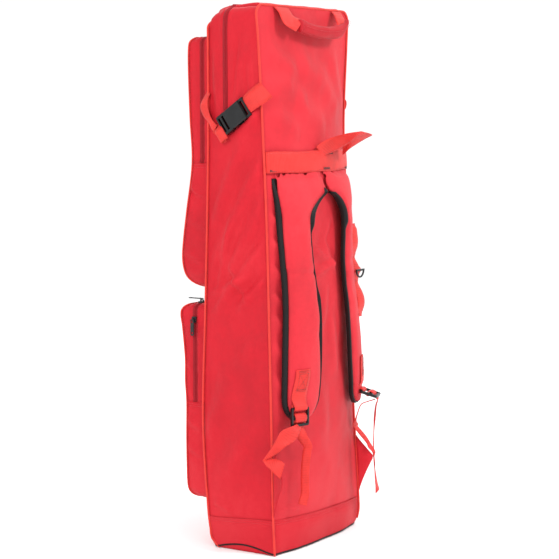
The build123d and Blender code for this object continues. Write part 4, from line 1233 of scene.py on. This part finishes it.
def build_strap(label, stations, side):
    pad, tray = [], []
    for z in strap_heights():
        pad.append(pad_ring(stations, z))
        if z > (0.676 if side > 0 else 0.650):
            continue
        x_mid, half, gap, share = strap_section(stations, z)
        ring = []
        for s, order in ((-1, 1), (1, -1)):
            for w, h in binding_rim(z, side, s == -side, half)[::order]:
                x = x_mid + s * w
                ring.append(rear(x, z, gap + h * share + roll(stations, z, s * w / max(half, 1e-6))))
        tray.append(ring)
    # painted light: the strap pads wear the lit copy of the red
    foam = sweep(f"strap_pad_cloth_{label}", pad, M_PAD_PAINTED_LIGHT)
    under = sweep(f"strap_edge_tape_{label}", tray, M_BINDING)
    inflate(foam, 0.0042, 0.0032)
    x = strap_section(stations, 0.646)[0]
    fold = (tuple(rear(x, 0.668)), tuple(rear(x, 0.624)))
    nodes = (f"strap_pad_{label}", "yoke_pad") if side > 0 else (f"strap_pad_{label}",)
    attach(foam, f"strap_{label}", nodes, fold)
    attach(under, f"strap_{label}", (f"strap_binding_{label}",), fold)


def inflate(obj, voxel, cap):
    """Blow the pad up a little as cloth, keep each point within cap, and smooth it."""
    scene = bpy.context.scene
    remesh = obj.modifiers.new("voxels", "REMESH")
    remesh.mode = "VOXEL"
    remesh.voxel_size = voxel
    apply_modifiers(obj)
    rest = [v.co.copy() for v in obj.data.vertices]
    cloth = obj.modifiers.new("cloth", "CLOTH")
    cloth.settings.use_pressure = True
    cloth.settings.uniform_pressure_force = 3.0
    cloth.settings.effector_weights.gravity = 0
    cloth.settings.quality = 4
    cloth.settings.mass = 0.3
    cloth.settings.tension_stiffness = 15
    cloth.settings.compression_stiffness = 15
    cloth.settings.shear_stiffness = 5
    cloth.point_cache.frame_start = 1
    cloth.point_cache.frame_end = 20
    for frame_number in range(1, 21):
        scene.frame_set(frame_number)
    apply_modifiers(obj)
    for v, before in zip(obj.data.vertices, rest):
        move = v.co - before
        if move.length > cap:
            v.co = before + move * (cap / move.length)
    scene.frame_set(1)
    smooth = obj.modifiers.new("soften", "SMOOTH")
    smooth.factor = 0.5
    smooth.iterations = 2
    subdivide(obj)
    apply_modifiers(obj)
    obj.data.polygons.foreach_set("use_smooth", [True] * len(obj.data.polygons))


def apply_modifiers(obj):
    graph = bpy.context.evaluated_depsgraph_get()
    graph.update()
    mesh = bpy.data.meshes.new_from_object(obj.evaluated_get(graph))
    materials = list(obj.data.materials)
    obj.modifiers.clear()
    obj.data = mesh
    if not mesh.materials:
        for material in materials:
            mesh.materials.append(material)


# middle of each adjuster's top bar, degrees it is turned about Z and tilted out
LOCKS = {"right": ((0.11442, 0.09858, 0.266), 22.0, 0.0), "left": ((-0.11528, 0.09613, 0.266), -17.0, 74.0)}
LOCK_REACH = 0.032          # top bar to the lower end
PATCH_LIFT = 0.0050         # webbing on a strap, clear of its blown-up pad
PATCH_TOP, PATCH_LOW = 0.3345, 0.2840
PATCH_BOX = (0.011, 0.3275, 0.2985)  # half width, top and bottom of the stitched box
# webbing round the adjuster's bars, as (out, height) in its own frame
PATCH_TURN = metres(((1.0, 39.5), (3.8, 36.5), (4.6, 33.5), (4.4, 31.0), (2.6, 28.8), (-0.8, 28.0), (-3.4, 30.0),
                     (-4.6, 34.0), (-5.2, 39.0)))
LOCK_TURN = metres(((-4.0, 1.0), (-2.0, 6.0), (3.0, 8.8), (4.6, 13.0), (4.4, 17.0), (1.2, 21.2), (-3.6, 22.5),
                    (-5.6, 17.0)))


def on_lock(label, u, out, height):
    """Point in an adjuster's own frame: u across it, out of its face, height above its lower end."""
    pivot, turn, tilt = LOCKS[label]
    turn, tilt = math.radians(turn), math.radians(tilt)
    across = Vector((math.cos(turn), -math.sin(turn), 0))
    away = Vector((math.sin(turn), math.cos(turn), 0))
    up = -away * math.sin(tilt) + Vector((0, 0, math.cos(tilt)))
    face = away * math.cos(tilt) + Vector((0, 0, math.sin(tilt)))
    return Vector(pivot) + across * u + face * out + up * (height - LOCK_REACH)


def build_patch(label, stations, side):
    """Webbing box-stitched to the strap's end, folded round the adjuster's top bar."""
    pivot, turn, _ = LOCKS[label]
    narrow = math.cos(math.radians(turn)) * 0.93

    def spot(u, z, lift):
        middle = pivot[0] + lerp(-0.008, 0.0, ease((PATCH_TOP - z) / 0.057)) * side
        return strap_across(stations, middle + u * narrow, z, lift)

    rows = grid(22, 7, lambda u, v: spot((v - 0.5) * 0.0350, lerp(PATCH_TOP, PATCH_LOW, u), PATCH_LIFT))
    rows += [[on_lock(label, (c / 6 - 0.5) * 0.0285, out, height) for c in range(7)] for out, height in PATCH_TURN]
    web = laid_strip(f"strap_patch_webbing_{label}", rows, THIN_WEB, M_WEB)
    attach(web, f"strap_{label}", (f"strap_patch_{label}",))
    w, top, low = PATCH_BOX
    box = [(-w, top), (w, top), (w, low), (-w, low), (-w, top)]
    runs = list(zip(box, box[1:])) + [((-w, top), (w, low)), ((w, top), (-w, low))]
    runs += [((-0.013, z), (0.013, z)) for z in (low + 0.0014, low - 0.0026, top + 0.0028, top + 0.0050)]
    lines = [[spot(lerp(u0, u1, k / 8), lerp(z0, z1, k / 8), PATCH_LIFT + 0.0016) for k in range(9)]
             for (u0, z0), (u1, z1) in runs]
    sew(f"patch_stitching_{label}", lines, f"strap_{label}", material=M_PATCH_THREAD,
        pitch=0.0028, length=0.0022, radius=0.00038)


def build_adjuster(label, tail_points, tail_across, tail_width):
    """Webbing over the middle bar, and the free tail leaving behind the bottom bar."""
    across = tuple(on_lock(label, 1, 0, 0) - on_lock(label, 0, 0, 0))
    path = [on_lock(label, 0, out, up) for out, up in LOCK_TURN]
    attach(ribbon(f"lock_webbing_{label}", path, across, 0.025, TAIL_WEB, M_WEB), f"lock_{label}")
    path = [on_lock(label, 0, -0.0036, 0.0010)] + mm(tail_points)
    widths = [w / 1000 for w in tail_width]
    tail = ribbon(f"strap_tail_webbing_{label}", path, tail_across, widths, TAIL_WEB, M_WEB)
    attach(tail, f"tail_{label}", (f"strap_tail_{label}",))


def build_lower_webbing(label, edge_a, edge_b, fold):
    web = edged_strip(f"lower_webbing_cloth_{label}", edge_a, edge_b, THIN_WEB, M_WEB_TILT)
    attach(web, f"strap_{label}", (f"lower_webbing_{label}",), fold)


def build_wing(label, side, low, high, tip):
    """Triangle of cloth sewn in the back seam, its tip pulled out and folded over the webbing."""
    def spot(t, s):
        z = lerp(low, high, t)
        root = Vector((side * (half_width(z) + 0.0008), seam_y(z, side) + 0.0030, z))
        reach = max(0.03, 1 - abs((z - tip.z) / (high - tip.z if z > tip.z else tip.z - low)))
        p = root.lerp(Vector((tip.x, tip.y, lerp(z, tip.z, 0.1 * s))), s * reach)
        p.x += side * 0.0022 * math.sin(math.pi * s) * math.sin(9 * t) * reach
        return p

    wing = laid_strip(f"strap_wing_cloth_{label}", grid(17, 9, spot), 0.0020, M_BODY)
    attach(wing, "bag", ("strap_wings",))
    reach = math.hypot(abs(tip.x) - half_width(tip.z), tip.y - seam_y(tip.z, side))


# height and stand-off of the strip on the left strap
UTILITY = metres((
    (583, 2.2), (579, 2.6), (573, 6.5), (563, 8.5), (551, 9.5), (540, 8.5), (531, 4.5), (526, 2.6), (518, 2.6),
    (508, 6.0), (503.5, 8.0), (498.5, 12.0), (494.5, 12.0), (490, 8.0), (485, 6.0), (473, 2.6), (466, 4.0),
    (456, 7.5), (444, 9.5), (432, 8.5), (421, 5.0), (415, 2.6), (409, 2.2),
))
UTILITY_TACKS = (0.5785, 0.5225, 0.4775, 0.4135)


def build_utility_strip():
    """Webbing sewn down the left strap in steps, slack between its rows, with a D-ring."""
    ring_low, ring_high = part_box("d_ring")
    x = (ring_low.x + ring_high.x) / 2
    path = [strap_across(STRAP_LEFT, x, z, lift) for z, lift in UTILITY]
    web = ribbon("utility_webbing", path, (1, 0, 0), 0.025, THIN_WEB, M_WEB, steps=4)
    attach(web, "strap_left", ("utility_strip",))
    bars = []
    for z in UTILITY_TACKS:
        x_mid, half, _, _ = strap_section(STRAP_LEFT, z)
        bars += grid(3, 5, lambda u, v: strap_face(
            STRAP_LEFT, z + 0.0016 * (u - 0.5), (x + 0.020 * (v - 0.5) - x_mid) / half, 0.0040))
    sew("utility_bartacks", bars, "strap_left", pitch=0.0017, length=0.0016, radius=0.0004)


# ---- handles --------------------------------------------------------------
HANDLE_X = -0.020
SLEEVE_HALF = 0.086
SLEEVE_DROP = 0.010
LOOP_X = -0.040


def sleeve_centre(t, y, sag, rise=0.0):
    """Point along the sleeve. The far end of the handle is held up by its webbing."""
    low = 1 - t * t
    z = 0.9450 + 0.080 * max(0.0, -t - 0.6) ** 2 - SLEEVE_DROP * low + rise
    return Vector((HANDLE_X + SLEEVE_HALF * t, y + sag * low, z))


def sleeve_ring(centre, t, grow):
    """Folded, slightly flattened section of the handle's sleeve."""
    ring = []
    end = (1 - 0.12 * abs(t) ** 8) * (1 - 0.5 * ease((-t - 0.6) / 0.4))
    for k in range(20):
        ang = 2 * math.pi * k / 20
        c, s = math.cos(ang), math.sin(ang)
        y = (0.0072 + grow) * math.copysign(abs(c) ** 0.75, c)
        z = (0.0135 + grow) * math.copysign(abs(s) ** 0.75, s) * end
        ring.append(centre + Vector((0, y + 0.0006 * math.sin(7 * t + ang), z)))
    return ring


def build_top_handle():
    """Webbing sewn in the top seam at both ends, its middle wrapped in a cloth sleeve."""
    for label, inner, outer in (
            ("right",
             [(104, 36, 977), (102, 45, 968), (105, 54, 954), (104, 60, 945), (94, 65, 939), (80, 68, 933)],
             [(56, 36, 977), (60, 45, 968), (63, 53, 961), (59, 60, 957), (58, 65, 955), (57, 68, 953)]),
            ("left",
             [(-94, 36, 977), (-86, 47, 970), (-77, 57, 960), (-72, 64, 950)],
             [(-130, 36, 977), (-117, 47, 969), (-107, 57, 962), (-100, 64, 956)])):
        web = edged_strip(f"handle_webbing_{label}", inner, outer, WEB_THICK, M_WEB_TILT)
        attach(web, "top_handle", ("handle_webbing",))
    rings = [sleeve_ring(sleeve_centre(-1 + k / 20, 0.064, 0.002), -1 + k / 20, 0.0) for k in range(41)]
    # painted shade: the sleeve wears the darkened copy of the red
    sleeve = sweep("handle_sleeve_cloth", rings, M_SLEEVE_PAINTED_SHADE)
    inflate(sleeve, 0.0036, 0.0024)
    attach(sleeve, "top_handle", ("handle_sleeve",))
    lines = []
    for t in (-0.965, -0.90, 0.90, 0.965):
        ring = sleeve_ring(sleeve_centre(t, 0.064, 0.0), t, 0.0010)
        lines.append(ring[10:] + ring[:11])
    lines.append([sleeve_centre(-0.88 + 1.76 * k / 32, 0.0735, 0.0020, 0.0015) for k in range(33)])
    sew("handle_stitching", lines, "top_handle", pitch=0.0032, length=0.0024)


def build_grab_loop():
    """Loop of wide webbing from the band, twisted and pinched at its tip."""
    upper = [(30, 80, 728), (22, 86, 736), (11, 98, 744), (4, 116, 750), (1, 134, 754), (-7, 147, 756),
             (-12, 147, 756), (-16, 134, 749), (-26, 112, 737), (-42, 96, 738), (-62, 82, 742)]
    lower = [(6, 80, 712), (-6, 86, 716), (-18, 95, 722), (-22, 114, 733), (-13, 132, 742), (-15, 146, 752),
             (-56, 147, 750), (-52, 134, 742), (-42, 112, 727), (-50, 96, 718), (-62, 82, 712)]
    web = edged_strip("grab_loop_webbing", upper, lower, WEB_THICK, M_WEB_LOOP)
    attach(web, "grab_loop", ("grab_loop",))
    for label, side in (("right", 1), ("left", -1)):
        rows = grid(13, 7, lambda u, v: rear(LOOP_X + side * lerp(0.020, 0.058, u), lerp(0.706, 0.735, v), 0.0010))
        foot = laid_strip(f"grab_loop_foot_{label}", rows, WEB_THICK, M_WEB_LEVEL)
        attach(foot, "bag", ("grab_loop_anchors",))


# ---- compression straps and buckles ---------------------------------------
def build_compression(label, side):
    def strip(name, points, across, widths, thick=WEB_THICK, steps=6):
        """Webbing of the right side, or its mirror image, which sits further forward with its seam."""
        path = []
        for p in mm(points):
            back = 0.0 if side > 0 else 0.012 + 0.042 * ease((p.y - 0.020) / 0.035)
            path.append(Vector((side * p.x, p.y - back, p.z)))
        across = [(side * x, y, z) for x, y, z in across] if isinstance(across, list) else across
        return ribbon(f"{name}_{label}", path, across, [w / 1000 for w in widths], thick, M_WEB_TILT, steps)

    web = strip("rear_compression",
                [(158, 56, 831), (161, 51, 826), (165.5, 42, 819), (168.5, 32, 811), (168.5, 24, 804),
                 (167.5, 20.5, 800)],
                [(0, 0.60, -0.80)] * 2 + [(0, 0.62, -0.78)] * 3 + [(0, 0.60, -0.80)], [36, 37, 36, 33, 30, 28])
    attach(web, "bag", ("compression_rear_straps",))
    web = strip("rear_compression_under",
                [(158.5, 46, 833), (160, 42, 827), (163.5, 33, 819), (165, 24, 810), (165, 20, 804)],
                (0, 0.66, -0.75), [28, 28])
    attach(web, "bag")
    web = strip("front_compression",
                [(158, -66, 826), (160.5, -71, 815), (163, -73, 802), (163.5, -68, 788), (163, -60, 776),
                 (162.6, -52, 765), (163, -44, 759), (165.5, -34, 757)],
                [(0.1, 0.75, 0.60), (0.3, 0.90, 0.30), (0.2, 0.95, -0.10), (0.2, 0.95, 0.10), (0.35, 0.80, 0.25),
                 (0.2, 0.80, 0.50), (0, 0.40, -0.9), (0, 0.57, -0.82)],
                [14, 17, 19, 17, 14, 15, 19, 22], THIN_WEB, 8)
    fold = ((side * 0.160, -0.070, 0.812), (side * 0.163, -0.048, 0.763))
    attach(web, f"plug_{label}", (f"compression_front_{label}",), fold)
    web = strip("plug_webbing",
                [(163.6, -30, 751), (166, -33.5, 748.8), (171.0, -36.5, 746.5), (174.6, -34.5, 748.2),
                 (175.6, -29.5, 751.8), (174.5, -25.5, 754.6), (171.5, -22.5, 756.6)],
                (0, 0.574, -0.819), [25.5, 25.5], THIN_WEB)
    attach(web, f"plug_{label}")


# ---- stage ----------------------------------------------------------------
AZIMUTH, PITCH, DISTANCE = math.radians(122.6), math.radians(5.8), 3.2
WORLD = 1.04
FLOOR = 14.0                # half its side
# name, place, power, size
LIGHTS = (
    ("key", (-0.2, 2.4, 2.5), 52, 0.7),
    ("side", (3.0, 0.5, 1.9), 46, 0.8),
    ("far", (-2.2, -1.8, 2.2), 16, 1.4),
)


def aim(name, data, at, direction):
    obj = bpy.data.objects.new(name, data)
    obj.location = at
    obj.rotation_mode = "QUATERNION"
    obj.rotation_quaternion = direction.to_track_quat("-Z", "Y")
    bpy.context.scene.collection.objects.link(obj)
    return obj


def make_camera():
    back = Vector((math.sin(AZIMUTH) * math.cos(PITCH), -math.cos(AZIMUTH) * math.cos(PITCH), math.sin(PITCH)))
    right = Vector((math.cos(AZIMUTH), math.sin(AZIMUTH), 0.0))
    target = Vector((0, 0, 0.4815)) + right * -0.0149
    data = bpy.data.cameras.new("camera")
    data.sensor_width = 36.0
    data.lens = 111.0
    bpy.context.scene.camera = aim("camera", data, target + back * DISTANCE, -back)


def make_stage():
    n = Nodes("pale_floor", 0.9, Specular_IOR_Level=0.0)
    material = n.finish(n.ramp(n.noise(3.0, 2.0), ((0.3, (0.97,) * 3), (0.7, (0.99,) * 3))))
    verts = [(x * FLOOR, y * FLOOR, -0.0005) for x, y in ((-1, -1), (1, -1), (1, 1), (-1, 1))]
    add_object("floor", verts, [(0, 1, 2, 3)], material, smooth=False)
    world = bpy.data.worlds.new("studio")
    world.use_nodes = True
    background = world.node_tree.nodes["Background"]
    background.inputs[0].default_value = (1, 1, 1, 1)
    background.inputs[1].default_value = WORLD
    bpy.context.scene.world = world
    bpy.context.scene.view_settings.view_transform = "Standard"
    for name, at, power, size in LIGHTS:
        data = bpy.data.lights.new(name, "AREA")
        data.shape = "SQUARE"
        data.size = size
        data.energy = power
        aim(name, data, at, Vector((0, 0, 0.55)) - Vector(at))


def finish_cad():
    """Materials and softened edges for the CAD nodes that stay in sight."""
    kinds = (("buckle", M_PLASTIC, 0.0009), ("ladder", M_PLASTIC, 0.0009), ("d_ring", M_PLASTIC, 0.0),
             ("slider", M_METAL, 0.0004), ("puller", M_METAL, 0.0004), ("base_board", M_BOARD, 0.0006))
    for name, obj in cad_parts.items():
        obj.data.materials.clear()
        for kind, material, width in kinds:
            if kind in name:
                obj.data.materials.append(material)
                if width:
                    bevel(obj, width)
                break


# ---- the bag --------------------------------------------------------------
make_camera()
make_stage()
gusset = build_shell()
build_piping(gusset)
build_boot()
build_main_zip()
build_pocket(UPPER)
build_pocket(LOWER)
build_band()
for label, stations, side in (("right", STRAP_RIGHT, 1), ("left", STRAP_LEFT, -1)):
    build_strap(label, stations, side)
    build_patch(label, stations, side)
build_adjuster(
    "right",
    [(114, 98, 228), (112, 100, 220), (109, 101, 213), (105, 106, 203), (103, 109, 196), (104, 107, 184),
     (106, 105, 158), (107, 105, 130), (107, 105, 110), (109, 103, 98), (111, 102, 90)],
    [(1, -0.3, 0), (1, -0.2, 0), (0.9, -0.4, 0), (0.6, -0.7, 0), (0.4, -0.9, 0), (0.3, -0.95, 0), (0.3, -0.95, 0),
     (0.35, -0.9, 0), (0.3, -0.95, 0), (0.4, -0.9, 0), (0.5, -0.8, 0), (0.5, -0.8, 0)],
    [25, 23, 20, 18, 17, 16, 16, 16, 16, 16, 16, 16],
)
build_adjuster(
    "left",
    [(-124, 124, 249), (-122, 121, 238), (-119, 120, 215), (-118, 119, 190), (-119, 118, 160), (-122, 118, 130),
     (-126, 118, 105), (-131, 118, 85), (-135, 118, 70)],
    [(1, 0.3, 0), (0.9, 0.45, 0), (0.8, 0.6, 0), (0.75, 0.65, 0), (0.85, 0.5, 0), (0.9, 0.42, 0), (0.8, 0.6, 0),
     (0.9, 0.4, 0), (0.95, 0.3, 0), (1, 0.1, 0)],
    [24, 18, 15, 15, 16, 18, 18, 18, 18, 18],
)
build_lower_webbing(
    "right",
    [(126, 97, 238), (146, 99, 237), (160, 89, 231), (164, 80, 215), (169, 70, 196), (177, 61, 179), (178, 62, 177),
     (179, 70, 169), (175, 81, 158), (169, 92, 146)],
    [(104, 97, 237), (119, 101, 224), (134, 101, 211), (159, 96, 203), (161, 81, 190), (173, 63, 178), (170, 64, 178),
     (163, 72, 180), (162, 86, 179), (160, 96, 173)],
    ((0.172, 0.066, 0.186), (0.116, 0.094, 0.232)),
)
build_lower_webbing(
    "left",
    [(-122, 119, 250), (-113, 108, 246), (-107, 97, 240), (-109, 88, 222), (-114, 80, 208), (-112, 76, 200),
     (-126, 72, 189), (-146, 75, 170), (-159, 80, 155), (-158, 84, 148), (-169, 87, 137), (-172, 88, 127)],
    [(-126, 117, 249), (-117, 106, 245), (-111, 95, 239), (-114, 86, 221), (-121, 79, 206), (-135, 75, 196),
     (-140, 72, 190), (-163, 75, 170), (-173, 80, 154), (-180, 84, 142), (-181, 87, 135), (-174, 88, 126)],
    ((-0.150, 0.066, 0.204), (-0.128, 0.114, 0.246)),
)
build_wing("right", 1, 0.070, 0.202, Vector((0.168, 0.097, 0.140)))
build_wing("left", -1, 0.064, 0.170, Vector((-0.1735, 0.088, 0.128)))
build_utility_strip()
build_top_handle()
build_grab_loop()
build_compression("right", 1)
build_compression("left", -1)
finish_cad()
